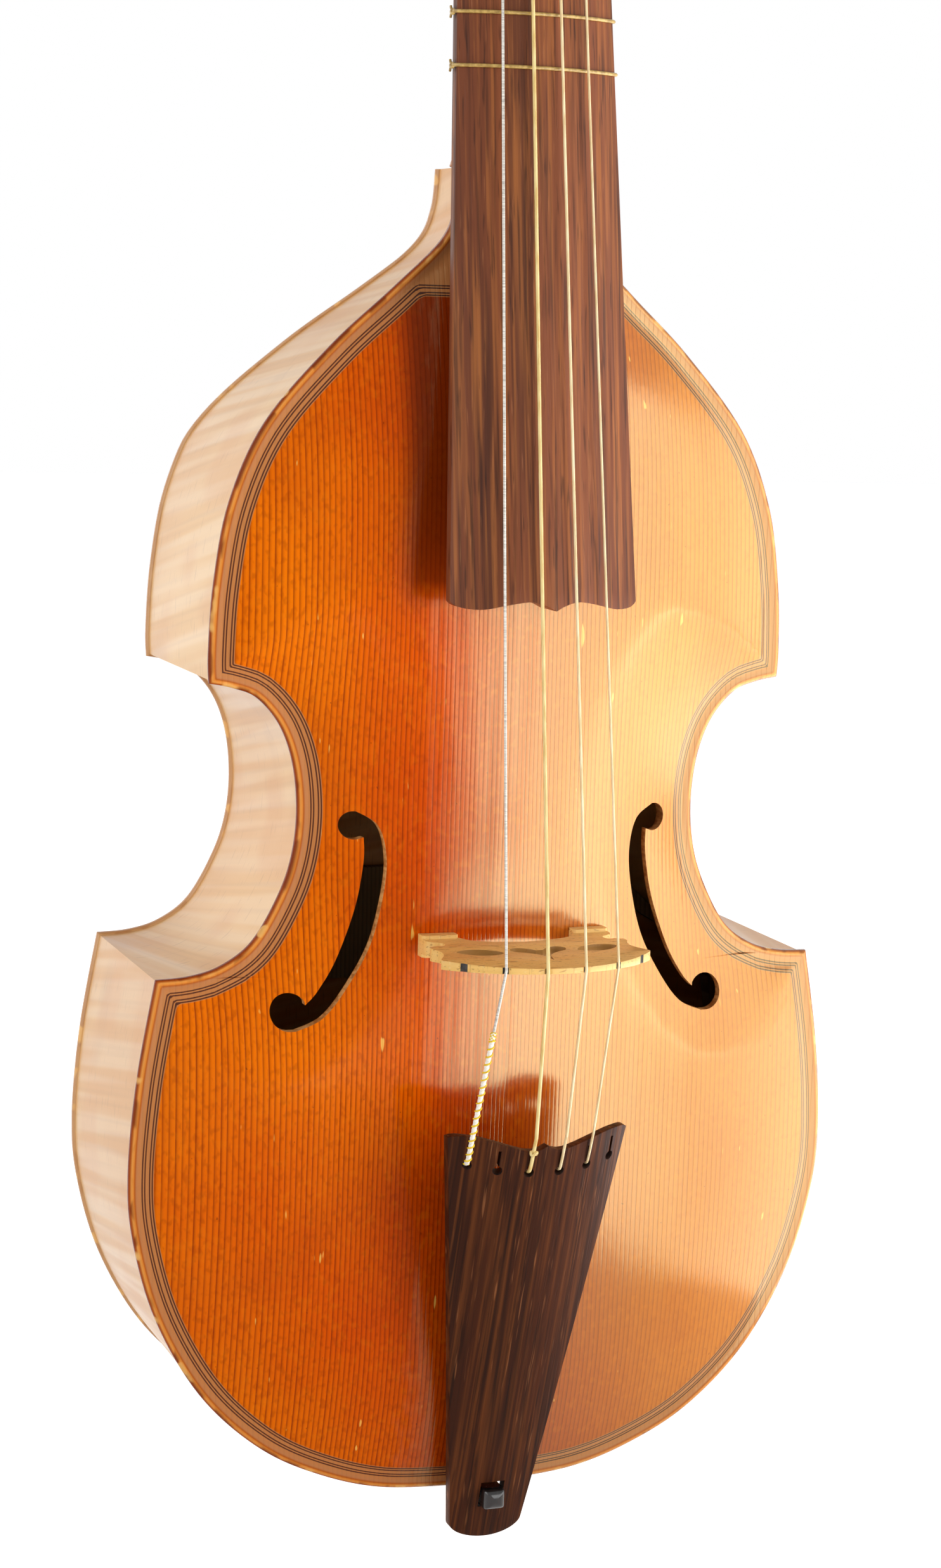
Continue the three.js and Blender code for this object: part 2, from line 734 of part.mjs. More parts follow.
function ribPairs(path) {
  return path.map((s) => [inset(s, EDGE_OVERHANG), inset(s, EDGE_OVERHANG + RIB_THICKNESS)]);
}

// The mitred end of a rib at a corner, drawn back along the rib by half the glue gap.
function mitrePair(endOfOne, startOfNext, back) {
  return [EDGE_OVERHANG, EDGE_OVERHANG + RIB_THICKNESS].map((depth) =>
    mitre(endOfOne, startOfNext, depth).addScaledVector(back, GLUE_GAP),
  );
}

function alongOf({ out }) {
  return new THREE.Vector2(-out.y, out.x);
}

const pastMitre = 3 * (EDGE_OVERHANG + RIB_THICKNESS);
const tailStart = HOOK_HALF + GLUE_GAP;
const lowerRib = [
  ...ribPairs(stretch(lowerPath, tailStart, lowerEnd.run - pastMitre)),
  mitrePair(lowerEnd, waistStart, alongOf(lowerEnd).negate()),
];
const waistRib = [
  mitrePair(lowerEnd, waistStart, alongOf(waistStart)),
  ...ribPairs(stretch(waistPath, pastMitre, waistEnd.run - pastMitre)),
  mitrePair(waistEnd, upperStart, alongOf(waistEnd).negate()),
];
const upperRib = [
  mitrePair(waistEnd, upperStart, alongOf(upperStart)),
  ...ribPairs(stretch(upperPath, pastMitre, upperPath.at(-1).run)),
];
const ribFoot = (y) => backTop(y) - BACK_THICKNESS / 2;
addPair("lower_rib", strip(lowerRib, ribLow, ribHigh), paleMaple);
addPair("waist_rib", strip(waistRib, ribLow, ribHigh), paleMaple);
addPair("upper_rib", fittedOnBack(strip(upperRib, ribFoot, ribHigh)), paleMaple);

function addLinings(name, path) {
  const pairs = path.map((s) => [inset(s, INNER_FACE), inset(s, INNER_FACE + LINING_WIDTH)]);
  addPair(name + "_belly_lining", strip(pairs, () => ribHigh() - LINING_HEIGHT, ribHigh), innerSpruce);
  addPair(name + "_back_lining", strip(pairs, ribLow, (y) => ribLow(y) + LINING_HEIGHT), innerSpruce);
}

const neckBlockStart = upperPath.find((s) => s.p.y > BODY_TOP_Y - NECK_BLOCK_DEPTH).run;
addLinings("lower", stretch(lowerPath, TAIL_BLOCK_HALF + LINING_WIDTH / 2, lowerEnd.run - CORNER_BLOCK_BOUT - GLUE_GAP));
addLinings("waist", stretch(waistPath, CORNER_BLOCK_WAIST + GLUE_GAP, waistEnd.run - CORNER_BLOCK_WAIST - GLUE_GAP));
addLinings("upper", stretch(upperPath, CORNER_BLOCK_BOUT + GLUE_GAP, neckBlockStart - LINING_WIDTH));

function cornerBlock(endOfOne, startOfNext, oneSide, nextSide) {
  const corner = mitre(endOfOne, startOfNext, INNER_FACE);
  const points = [...oneSide.map((s) => inset(s, INNER_FACE)), corner, ...nextSide.map((s) => inset(s, INNER_FACE))];
  return prism(points.map((p) => [p.x, p.y]), ribLow(0), ribHigh());
}

addPair(
  "lower_corner_block",
  cornerBlock(
    lowerEnd,
    waistStart,
    stretch(lowerPath, lowerEnd.run - CORNER_BLOCK_BOUT, lowerEnd.run - pastMitre),
    stretch(waistPath, pastMitre, CORNER_BLOCK_WAIST),
  ),
  innerSpruce,
);
addPair(
  "upper_corner_block",
  cornerBlock(
    waistEnd,
    upperStart,
    stretch(waistPath, waistEnd.run - CORNER_BLOCK_WAIST, waistEnd.run - pastMitre),
    stretch(upperPath, pastMitre, CORNER_BLOCK_BOUT),
  ),
  innerSpruce,
);

function tailBlock() {
  const side = stretch(lowerPath, tailStart, TAIL_BLOCK_HALF).map((s) => inset(s, INNER_FACE));
  const inner = BODY_BOTTOM_Y + INNER_FACE + TAIL_BLOCK_DEPTH;
  const half = side.map((p) => [p.x, p.y]);
  const points = [...half, [side.at(-1).x, inner], [-side.at(-1).x, inner], ...half.map(([x, y]) => [-x, y]).reverse()];
  return solid(prism(points, ribLow(0), ribHigh())).subtract(hookRoom);
}

add("tail_block", tailBlock(), innerSpruce);

function neckBlock() {
  const stations = stretch(upperPath, neckBlockStart, upperPath.at(-1).run);
  return loft(
    stations.map((s) => {
      const { x, y } = inset(s, INNER_FACE);
      return [
        new THREE.Vector3(-x, y, ribLow(y)),
        new THREE.Vector3(x, y, ribLow(y)),
        new THREE.Vector3(x, y, ribHigh()),
        new THREE.Vector3(-x, y, ribHigh()),
      ];
    }),
  );
}

add("neck_block", neckBlock(), innerSpruce);

// Bass bar, sound post and back braces

function bassBar() {
  const rings = [];
  for (let i = 0; i <= BAR_STEPS; i++) {
    const share = (2 * i) / BAR_STEPS - 1;
    const y = BAR_CENTRE_Y + (share * BAR_LENGTH) / 2;
    const depth = between(BAR_DEPTH, BAR_END_DEPTH, share * share);
    const left = BAR_X - BAR_WIDTH / 2;
    const right = BAR_X + BAR_WIDTH / 2;
    const top = bellyUnder(BAR_X, y) + BELLY_THICKNESS / 2;
    rings.push([
      new THREE.Vector3(left, y, top),
      new THREE.Vector3(right, y, top),
      new THREE.Vector3(right, y, top - depth),
      new THREE.Vector3(left, y, top - depth),
    ]);
  }
  return fittedUnderBelly(loft(rings));
}

add("bass_bar", bassBar(), innerSpruce);

const plateTop = ribLow(0) + POST_PLATE_THICKNESS;
const postTop = bellyUnder(POST_X, POST_Y) + BELLY_THICKNESS / 2;
add(
  "sound_post",
  fittedUnderBelly(postAt(POST_X, POST_Y, POST_RADIUS, PEG_SIDES, plateTop + GLUE_GAP, postTop)),
  innerSpruce,
);
add(
  "sound_post_plate",
  box(
    [-POST_PLATE_HALF, POST_PLATE_HALF],
    [POST_Y - POST_PLATE_WIDTH / 2, POST_Y + POST_PLATE_WIDTH / 2],
    [ribLow(0), plateTop],
  ),
  innerSpruce,
);

function brace(y) {
  const ends = [y - BRACE_WIDTH / 2, y + BRACE_WIDTH / 2];
  const half = Math.min(...ends.map(halfWidth)) - INNER_FACE - LINING_WIDTH - BRACE_END_ROOM;
  return box([-half, half], ends, [ribLow(0), ribLow(0) + BRACE_THICKNESS]);
}

add("lower_back_brace", brace(LOWER_BRACE_Y), innerSpruce);
add("upper_back_brace", brace(UPPER_BRACE_Y), innerSpruce);

// Fingerboard and nut

// A cutter for an end whose line is given, mirrored about the middle, in shares of its half width and depth.
function endCutter(shares, half, endY, depth, away) {
  const right = shares.map(([x, y]) => [x * half, endY + y * depth]);
  const left = right.slice(0, -1).map(([x, y]) => [-x, y]);
  const far = endY + away * (depth + OVERRUN);
  const line = [...left, ...right.slice().reverse()];
  const wide = half + OVERRUN;
  const points = [[-wide, far], [-wide, line[0][1]], ...line, [wide, line[0][1]], [wide, far]];
  return solid(prism(points, 0, 2 * BODY_DEPTH));
}

// A bar whose top is crowned, between two places along the body.
function crownedBar(from, to, steps, arcSteps, half, top, under) {
  const rings = [];
  for (let i = 0; i <= steps; i++) {
    const y = between(from, to, i / steps);
    const ring = [];
    for (let j = 0; j <= arcSteps; j++) {
      const x = half(y) * ((2 * j) / arcSteps - 1);
      ring.push(new THREE.Vector3(x, y, top(x, y)));
    }
    rings.push([...ring, ...under(y)]);
  }
  return loft(rings);
}

function flatUnder(half, height) {
  return (y) => [new THREE.Vector3(half(y), y, height(y)), new THREE.Vector3(-half(y), y, height(y))];
}

function fingerboard() {
  const start = BOARD_END_Y - BOARD_OGEE_DEPTH;
  const under = flatUnder(boardHalf, boardUnder);
  const bar = crownedBar(start, NUT_Y - GLUE_GAP, BOARD_LENGTH_STEPS, BOARD_ARC_STEPS, boardHalf, boardTop, under);
  const cutter = endCutter(boardOgeeShares, boardHalf(start), BOARD_END_Y, BOARD_OGEE_DEPTH, -1);
  return solid(bar).subtract(cutter);
}

add("fingerboard", fingerboard(), rosewood);

function straightRun(from, to, radius, sides) {
  return solid(tube([from, to], radius, sides));
}

function nut() {
  const top = (x) => boardTop(x, NUT_Y) + NUT_HEIGHT;
  const half = () => BOARD_NUT_HALF;
  const under = (y) => flatUnder(half, boardUnder)(y);
  let made = solid(crownedBar(NUT_Y, NUT_Y + NUT_LENGTH, 1, BOARD_ARC_STEPS, half, top, under));
  slots.forEach((s) => {
    const { atBridge, atNut } = stringEnds(s);
    const along = atNut.clone().sub(atBridge).normalize();
    const front = atNut.clone().addScaledVector(along, -OVERRUN);
    const back = atNut.clone().addScaledVector(along, NUT_LENGTH + OVERRUN);
    made = made.subtract(straightRun(front, back, s.radius + STRING_GAP, STRING_SIDES + 2));
  });
  return made;
}

add("nut", nut(), ebony);

// Neck, heel, pegbox and scroll, in one piece

const neckRoot = BODY_TOP_Y + GLUE_GAP;
const pegboxStart = NUT_Y + NUT_LENGTH;
const heelEnd = neckRoot + HEEL_LENGTH;

function neckHalf(y) {
  const share = THREE.MathUtils.clamp((y - neckRoot) / (pegboxStart - neckRoot), 0, 1);
  return boardHalf(y) - between(HEEL_INSET, NECK_INSET, Math.sqrt(share));
}

// How deep the neck is under its top, and how square its section is.
function neckSection(y) {
  const shaft = between(NECK_ROOT_DEPTH, NECK_DEPTH, (y - neckRoot) / (pegboxStart - neckRoot));
  const heelDrop = neckTop(neckRoot) - backFace(BODY_TOP_Y) - NECK_ROOT_DEPTH;
  const left = THREE.MathUtils.clamp((heelEnd - y) / HEEL_LENGTH, 0, 1);
  return {
    depth: shaft + heelDrop * left ** HEEL_CURVE,
    roundness: between(NECK_ROUNDNESS, HEEL_ROUNDNESS, left),
  };
}

function neckRing(y, spare = 0) {
  const half = neckHalf(y) + spare;
  const { depth, roundness } = neckSection(y);
  const ring = [];
  for (let i = 0; i <= NECK_ARC_STEPS; i++) {
    const angle = (Math.PI * i) / NECK_ARC_STEPS;
    const across = Math.sign(Math.cos(angle)) * Math.abs(Math.cos(angle)) ** (2 / roundness);
    const down = Math.sin(angle) ** (2 / roundness);
    ring.push(new THREE.Vector3(half * across, y, neckTop(y) - (depth + spare) * down));
  }
  return ring;
}

function neckShaft() {
  const heelShares = [0, 0.12, 0.28, 0.5, 0.75, 1];
  const stations = heelShares.map((s) => between(neckRoot, heelEnd, s));
  return loft([...stations, pegboxStart, pegboxStart + HOLLOW_START / 2].map((y) => neckRing(y)));
}

const pegboxFrame = new THREE.Matrix4().makeBasis(
  new THREE.Vector3(0, Math.cos(PEGBOX_TILT), -Math.sin(PEGBOX_TILT)),
  new THREE.Vector3(0, Math.sin(PEGBOX_TILT), Math.cos(PEGBOX_TILT)),
  new THREE.Vector3(1, 0, 0),
);
pegboxFrame.setPosition(0, pegboxStart, neckTop(pegboxStart));

// The pegbox grows out of the neck, and then narrows towards the scroll.
const pegboxHalfLine = pegboxHalfShares.map(([u, share]) => {
  const half = u < 0 ? share * PEGBOX_HALF : between(PEGBOX_END_HALF, PEGBOX_HALF, share);
  return new THREE.Vector2(u * PEGBOX_LENGTH, half);
});

function pegboxHalf(u) {
  return follow(pegboxHalfLine, u);
}

// The pegbox's back line leaves the neck's underside and is deepest near the nut.
const pegboxBackLine = smooth(
  pegboxBackShares.map(([u, v]) => [u * PEGBOX_LENGTH, -v * PEGBOX_BACK]),
  3,
);

function pegboxBack(u) {
  return follow(pegboxBackLine, u);
}

// A block in the pegbox's frame: a side view between two lines, whose width follows the pegbox's taper.
function pegboxBlock(from, to, front, back, half) {
  const rings = [];
  for (let i = 0; i <= PEGBOX_STEPS; i++) {
    const u = between(from, to, i / PEGBOX_STEPS);
    rings.push([
      new THREE.Vector3(u, front, -half(u)),
      new THREE.Vector3(u, front, half(u)),
      new THREE.Vector3(u, back(u), half(u)),
      new THREE.Vector3(u, back(u), -half(u)),
    ]);
  }
  return solid(loft(rings).applyMatrix4(pegboxFrame));
}

// The volute: a spiral that narrows in radius and widens towards its eye.
function scroll() {
  const rings = [];
  const count = SCROLL_STEPS * SCROLL_TURNS;
  const u0 = PEGBOX_LENGTH + SCROLL_FORWARD;
  const v0 = SCROLL_RADIUS + pegboxBack(PEGBOX_LENGTH);
  for (let i = 0; i <= count; i++) {
    const turned = (2 * Math.PI * i) / SCROLL_STEPS;
    const angle = SCROLL_START + turned;
    const outer = SCROLL_RADIUS * Math.exp(-SCROLL_SHRINK * turned);
    const inner = outer * SCROLL_CORE_SHARE;
    const half = between(PEGBOX_END_HALF, SCROLL_EYE_HALF, i / count);
    const at = (radius, z) => new THREE.Vector3(u0 + radius * Math.cos(angle), v0 + radius * Math.sin(angle), z);
    rings.push([at(outer, -half), at(outer, half), at(inner, half), at(inner, -half)]);
  }
  const eyeRadius = SCROLL_RADIUS * Math.exp(-SCROLL_SHRINK * 2 * Math.PI * (SCROLL_TURNS - 1)) * 0.9;
  const eye = new THREE.CylinderGeometry(eyeRadius, eyeRadius, 2 * PEGBOX_END_HALF, PEG_SIDES);
  eye.rotateX(Math.PI / 2).translate(u0, v0, 0);
  return solid(loft(rings).applyMatrix4(pegboxFrame)).add(solid(eye.applyMatrix4(pegboxFrame)));
}

// Pegs lie across the pegbox, their heads in turn to the bass and the treble side.
function pegPlace(index) {
  const side = index % 2 ? 1 : -1;
  const u = PEGBOX_LENGTH * (PEG_FIRST_SHARE + index * PEG_SPACING_SHARE);
  const half = pegboxHalf(u);
  const tip = -half - PEG_TIP_OUT;
  const shoulder = half + COLLAR_OUT;
  return { side, u, v: PEG_HEIGHT, half, tip, shoulder };
}

function shaftRadius({ tip, shoulder }, x) {
  return between(PEG_TIP_RADIUS, PEG_HEAD_RADIUS, (x - tip) / (shoulder - tip));
}

// Turns a profile about the peg's axis and puts it in the pegbox, with its head to its own side.
function acrossPegbox({ side, u, v }, geometry) {
  geometry.rotateZ(-Math.PI / 2).scale(side, 1, 1);
  const turnIn = new THREE.Matrix4().makeBasis(
    new THREE.Vector3(0, 0, 1),
    new THREE.Vector3(1, 0, 0),
    new THREE.Vector3(0, 1, 0),
  );
  return geometry.applyMatrix4(turnIn).translate(u, v, 0).applyMatrix4(pegboxFrame);
}

function pegHole(peg) {
  const start = -peg.half - OVERRUN;
  const end = peg.half + OVERRUN;
  const room = (x) => (shaftRadius(peg, x) + TURNING_GAP) / Math.cos(Math.PI / PEG_SIDES);
  const profile = [
    new THREE.Vector2(0, start),
    new THREE.Vector2(room(start), start),
    new THREE.Vector2(room(end), end),
    new THREE.Vector2(0, end),
  ];
  return solid(acrossPegbox(peg, new THREE.LatheGeometry(profile, PEG_SIDES)));
}

function pegSolid(peg) {
  const { tip, half, shoulder } = peg;
  const collarStart = half + COLLAR_OUT;
  const collarEnd = collarStart + COLLAR_LENGTH;
  const neckEnd = collarEnd + PEG_NECK_LENGTH;
  const profile = [
    [0, tip],
    [shaftRadius(peg, tip), tip],
    [shaftRadius(peg, shoulder), shoulder],
    [COLLAR_RADIUS * 0.8, collarStart],
    [COLLAR_RADIUS, collarStart + COLLAR_LENGTH / 2],
    [COLLAR_RADIUS * 0.8, collarEnd],
    [PEG_NECK_RADIUS, collarEnd],
    [PEG_NECK_RADIUS, neckEnd],
    [0, neckEnd],
  ].map(([x, y]) => new THREE.Vector2(x, y));
  const thumbPoints = thumbShares.map(([along, across]) => [
    across * THUMB_HALF,
    neckEnd - PEG_NECK_LENGTH / 2 + along * THUMB_LENGTH,
  ]);
  const thumb = prism(thumbPoints, -THUMB_THICKNESS / 2, THUMB_THICKNESS / 2);
  const turned = new THREE.LatheGeometry(profile, PEG_SIDES);
  return solid(acrossPegbox(peg, turned)).add(solid(acrossPegbox(peg, thumb)));
}

const pegs = [0, 1, 2, 3, 4, 5].map(pegPlace);

function neck() {
  const scrollStart = PEGBOX_LENGTH + SCROLL_FORWARD;
  const block = pegboxBlock(-PEGBOX_START, scrollStart, PEGBOX_FRONT, pegboxBack, pegboxHalf);
  const hollow = pegboxBlock(
    HOLLOW_START,
    PEGBOX_LENGTH - HOLLOW_END_ROOM,
    PEGBOX_FRONT + OVERRUN,
    (u) => pegboxBack(u) + FLOOR,
    (u) => pegboxHalf(u) - CHEEK,
  );
  const nutRoom = solid(
    box(
      [-LOWER_HALF, LOWER_HALF],
      [pegboxStart - 2 * PEGBOX_START, pegboxStart + GLUE_GAP],
      [neckTop(pegboxStart), BODY_DEPTH * 2],
    ),
  );
  let made = solid(neckShaft()).add(block.subtract(nutRoom)).add(scroll()).subtract(hollow);
  pegs.forEach((peg) => {
    made = made.subtract(pegHole(peg));
  });
  return made;
}

add("neck", neck(), paleMaple);
pegs.forEach((peg, i) => add("peg_" + (i + 1), pegSolid(peg), rosewood));

// Frets: gut tied round the neck and the fingerboard

function fretLoop(y) {
  const room = FRET_RADIUS + GLUE_GAP;
  const half = boardHalf(y);
  const points = [];
  for (let i = 0; i <= BOARD_ARC_STEPS; i++) {
    const x = half * ((2 * i) / BOARD_ARC_STEPS - 1);
    points.push(new THREE.Vector3(x, y, boardTop(x, y) + room));
  }
  points.push(new THREE.Vector3(half + room, y, boardEdge(y)));
  points.push(new THREE.Vector3(half + room, y, boardUnder(y)));
  points.push(...neckRing(y, room).slice(1, -1).map((p) => p.setZ(p.z)));
  points.push(new THREE.Vector3(-half - room, y, boardUnder(y)));
  points.push(new THREE.Vector3(-half - room, y, boardEdge(y)));
  return points;
}

for (let n = 1; n <= FRETS; n++) {
  const y = NUT_Y * 2 ** (-n / 12);
  const loop = solid(tube(fretLoop(y), FRET_RADIUS, FRET_SIDES, new THREE.Vector3(0, 1, 0)));
  const knot = new THREE.SphereGeometry(FRET_KNOT_RADIUS, FRET_SIDES + 2, FRET_SIDES);
  knot.translate(-boardHalf(y) - GLUE_GAP - FRET_KNOT_RADIUS, y, boardUnder(y));
  add("fret_" + n, loop.add(solid(knot)), gut);
}

// Bridge

const footY = (x) => bellyTop(x, 0) + GLUE_GAP;

// A foot is thicker than the plate above it.
function bridgeFoot(side) {
  const top = BODY_DEPTH + ARCH_RISE + BRIDGE_FOOT_HEIGHT * 0.7;
  const middle = (BRIDGE_FOOT_INNER + BRIDGE_FOOT_HALF) / 2;
  const face = [BRIDGE_FOOT_INNER, middle, BRIDGE_FOOT_HALF].map((x) => [x, footY(x)]);
  face.push([BRIDGE_FOOT_HALF, top], [BRIDGE_FOOT_INNER, top]);
  const ring = (y) => face.map(([x, z]) => new THREE.Vector3(side * x, y, z));
  return solid(loft([ring(-BRIDGE_FOOT_DEPTH / 2), ring(BRIDGE_FOOT_DEPTH / 2)]));
}

function bridge() {
  const footTop = BODY_DEPTH + ARCH_RISE + BRIDGE_FOOT_HEIGHT;
  const archTop = BODY_DEPTH + BRIDGE_ARCH_RISE;
  const tipHeight = bridgeTop(BRIDGE_HALF);
  const notchHeight = between(footTop, tipHeight, 0.3);
  const arch = smooth(
    [[0, archTop], [BRIDGE_FOOT_INNER * 0.55, archTop - 1.2 * BRIDGE_TIP], [BRIDGE_FOOT_INNER * 0.93, footTop]],
    4,
  ).map((p) => [p.x, p.y]);
  const flank = smooth(
    [
      [BRIDGE_FOOT_HALF, footTop],
      [between(BRIDGE_NOTCH_HALF, BRIDGE_FOOT_HALF, 0.35), between(footTop, notchHeight, 0.4)],
      [BRIDGE_NOTCH_HALF, notchHeight],
      [between(BRIDGE_NOTCH_HALF, BRIDGE_HALF, 0.5), between(notchHeight, tipHeight, 0.35)],
      [BRIDGE_HALF - BRIDGE_TIP / 2, tipHeight - 2 * BRIDGE_TIP],
      [BRIDGE_HALF, tipHeight - BRIDGE_TIP],
    ],
    2,
  ).map((p) => [p.x, p.y]);
  const feet = [
    [BRIDGE_FOOT_INNER, footY(BRIDGE_FOOT_INNER)],
    [(BRIDGE_FOOT_INNER + BRIDGE_FOOT_HALF) / 2, footY((BRIDGE_FOOT_INNER + BRIDGE_FOOT_HALF) / 2)],
    [BRIDGE_FOOT_HALF, footY(BRIDGE_FOOT_HALF)],
  ];
  const top = [];
  for (let i = 0; i < BRIDGE_TOP_STEPS / 2; i++) {
    const x = BRIDGE_HALF * (1 - (2 * i) / BRIDGE_TOP_STEPS);
    top.push([x, bridgeTop(x)]);
  }
  const right = [...arch, ...feet, ...flank, ...top];
  const left = right.slice(1).map(([x, y]) => [-x, y]).reverse();
  const shape = new THREE.Shape([...right, [0, bridgeTop(0)], ...left].map(([x, y]) => new THREE.Vector2(x, y)));
  const heart = heartShares.map(([x, y]) => [x * HEART_HALF, BODY_DEPTH + HEART_RISE + y * HEART_HEIGHT]);
  const heartLoop = [...heart, ...heart.slice(1).map(([x, y]) => [-x, y]).reverse()];
  shape.holes.push(new THREE.Path(heartLoop.map(([x, y]) => new THREE.Vector2(x, y))));
  for (const side of [-1, 1]) {
    const lens = new THREE.Path();
    const middle = BODY_DEPTH + LENS_RISE;
    lens.absellipse(side * LENS_X, middle, LENS_HALF, LENS_HEIGHT / 2, 0, 2 * Math.PI, false, side * -0.2);
    shape.holes.push(new THREE.Path(lens.getPoints(LENS_SIDES).slice(0, -1)));
  }
  const flat = new THREE.ExtrudeGeometry(shape, { depth: 1, bevelEnabled: false }).translate(0, 0, -0.5);
  // The plate stands upright across the body and thins towards its top.
  const place = flat.attributes.position;
  const low = BODY_DEPTH + ARCH_RISE;
  for (let i = 0; i < place.count; i++) {
    const z = place.getY(i);
    const share = THREE.MathUtils.clamp((z - low) / (BODY_DEPTH + BRIDGE_RISE - low), 0, 1);
    const y = place.getZ(i) * between(BRIDGE_LOW_THICKNESS, BRIDGE_TOP_THICKNESS, share);
    place.setXYZ(i, place.getX(i), y, z);
  }
  let made = solid(flat).add(bridgeFoot(1)).add(bridgeFoot(-1));
  slots.forEach((s) => {
    const { atBridge } = stringEnds(s);
    const from = atBridge.clone().setY(-OVERRUN);
    const to = atBridge.clone().setY(OVERRUN);
    made = made.subtract(straightRun(from, to, s.radius + STRING_GAP, STRING_SIDES + 2));
  });
  return made;
}

add("bridge", bridge(), bridgeMaple);

// Tailpiece

function tailpiece() {
  const start = TAIL_TOP_Y + TAIL_OGEE_DEPTH;
  const end = TAIL_BOTTOM_Y - TAIL_TIP;
  const under = (y) => {
    const ring = [];
    for (let j = TAIL_ARC_STEPS; j >= 0; j -= 2) {
      const x = tailHalf(y) * ((2 * j) / TAIL_ARC_STEPS - 1);
      ring.push(new THREE.Vector3(x, y, tailTop(x, y) - TAIL_THICKNESS));
    }
    return ring;
  };
  const bar = crownedBar(start, end, TAIL_LENGTH_STEPS, TAIL_ARC_STEPS, tailHalf, tailTop, under);
  const roundShares = [[1, 1], [0.94, 0.72], [0.75, 0.4], [0.45, 0.12], [0, 0]];
  const hole = solid(
    box(
      [-HOOK_HALF - GLUE_GAP, HOOK_HALF + GLUE_GAP],
      [hookLow - GLUE_GAP, hookHigh + HOOK_ROOM_ABOVE],
      [BODY_DEPTH - OVERRUN, BODY_DEPTH + TAIL_TOP_RISE],
    ),
  );
  let made = solid(bar)
    .subtract(endCutter(tailOgeeShares, TAIL_TOP_HALF, TAIL_TOP_Y, TAIL_OGEE_DEPTH, 1))
    .subtract(endCutter(roundShares, tailHalf(end), end, TAIL_TIP, -1))
    .subtract(hole);
  for (const side of [-1, 1]) {
    [0, 1, 2].forEach((place) => {
      const { x, y } = tailHole(place, side);
      const low = tailTop(x, y) - 2 * TAIL_THICKNESS;
      const high = tailTop(x, y) + 2 * TAIL_THICKNESS;
      const kerf = box([x - TAIL_KERF / 2, x + TAIL_KERF / 2], [y, y + TAIL_KERF_LENGTH], [low, high]);
      made = made.subtract(solid(postAt(x, y, TAIL_HOLE_RADIUS, HOLE_SIDES, low, high))).subtract(solid(kerf));
    });
  }
  return made;
}

add("tailpiece", tailpiece(), rosewood);
add("hook_bar", hookBar(0), ebony);

// Strings: from a knot behind the tailpiece, over the bridge and the nut, and wound on their pegs

function tailRun({ hole, side, radius }) {
  const { x, y } = tailHole(hole, side);
  const up = TAIL_HOLE_RADIUS - radius - STRING_GAP;
  const rise = radius + STRING_GAP;
  const edgeY = TAIL_TOP_Y + TAIL_OGEE_DEPTH / 3;
  const lean = Math.sqrt(1 - (x / TAIL_RADIUS) ** 2);
  const drop = TAIL_THICKNESS + (STRING_KNOT_RADIUS + 2 * STRING_GAP) / lean;
  return [
    new THREE.Vector3(x, y + up / 2, tailTop(x, y) - drop),
    new THREE.Vector3(x, y + up / 2, tailTop(x, y) - TAIL_THICKNESS / 2),
    new THREE.Vector3(x, y + up / 2, tailTop(x, y)),
    new THREE.Vector3(x, y + up, tailTop(x, y) + 1.4 * rise),
    new THREE.Vector3(x, y + 2 * TAIL_HOLE_RADIUS, tailTop(x, y + 2 * TAIL_HOLE_RADIUS) + 1.6 * rise),
    new THREE.Vector3(x, edgeY, tailTop(x, edgeY) + 1.5 * rise),
  ];
}

function windingPoints({ peg: index, side, radius }, from) {
  const peg = pegs[index];
  const start = from.clone().applyMatrix4(pegboxFrame.clone().invert());
  const x0 = from.x * WINDING_START_SHARE;
  const pitch = 2 * radius + WINDING_SPACE;
  const x1 = x0 + side * WINDING_TURNS * pitch;
  const onPeg = Math.max(shaftRadius(peg, peg.side * x0), shaftRadius(peg, peg.side * x1));
  const reach = onPeg + STRING_GAP + radius / Math.cos(Math.PI / STRING_SIDES);
  const du = start.x - peg.u;
  const dv = start.y - peg.v;
  const first = Math.atan2(dv, du) - Math.acos(reach / Math.hypot(du, dv));
  const points = [];
  for (let i = 0; i <= WINDING_STEPS * WINDING_TURNS; i++) {
    const turned = i / WINDING_STEPS;
    const angle = first - 2 * Math.PI * turned;
    const across = x0 + side * pitch * turned;
    const p = new THREE.Vector3(peg.u + reach * Math.cos(angle), peg.v + reach * Math.sin(angle), across);
    points.push(p.applyMatrix4(pegboxFrame));
  }
  return { points, gap: pitch - 2 * radius };
}

let leastGap = Infinity;
strings.forEach((s) => {
  const { atBridge, atNut } = stringEnds(s);
  const run = tailRun(s);
  const along = atNut.clone().sub(atBridge).normalize();
  const leaving = atNut.clone().addScaledVector(along, NUT_LENGTH);
  const { points, gap } = windingPoints(s, leaving);
  leastGap = Math.min(leastGap, gap);
  const made = solid(tube([...run, atBridge, atNut, leaving, ...points], s.radius, STRING_SIDES));
  const knot = new THREE.SphereGeometry(STRING_KNOT_RADIUS, STRING_SIDES + 2, STRING_SIDES);
  knot.translate(run[0].x, run[0].y, run[0].z);
  add(s.name, made.add(solid(knot)), s.hole === 2 ? woundSilver : gut);
});
console.log("least gap between the turns of a string: " + leastGap.toFixed(2) + " mm");

export default root;
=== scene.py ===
# %% [markdown]
# # A treble viola da gamba
#
# A viola da gamba is bowed like a cello and fretted like a lute. This lesson dresses a CAD model of one:
# every wooden piece, string and fret that the eye can see is made again here, finer, in the place of its
# plain solid.
#
# Sizes are in millimetres in the maker's own frame: x to the treble side, y from the bridge towards the
# head, and h from the back's outer face towards the player. One function turns them into metres.

import math

import bmesh
import bpy
import numpy as np
from mathutils import Matrix, Vector


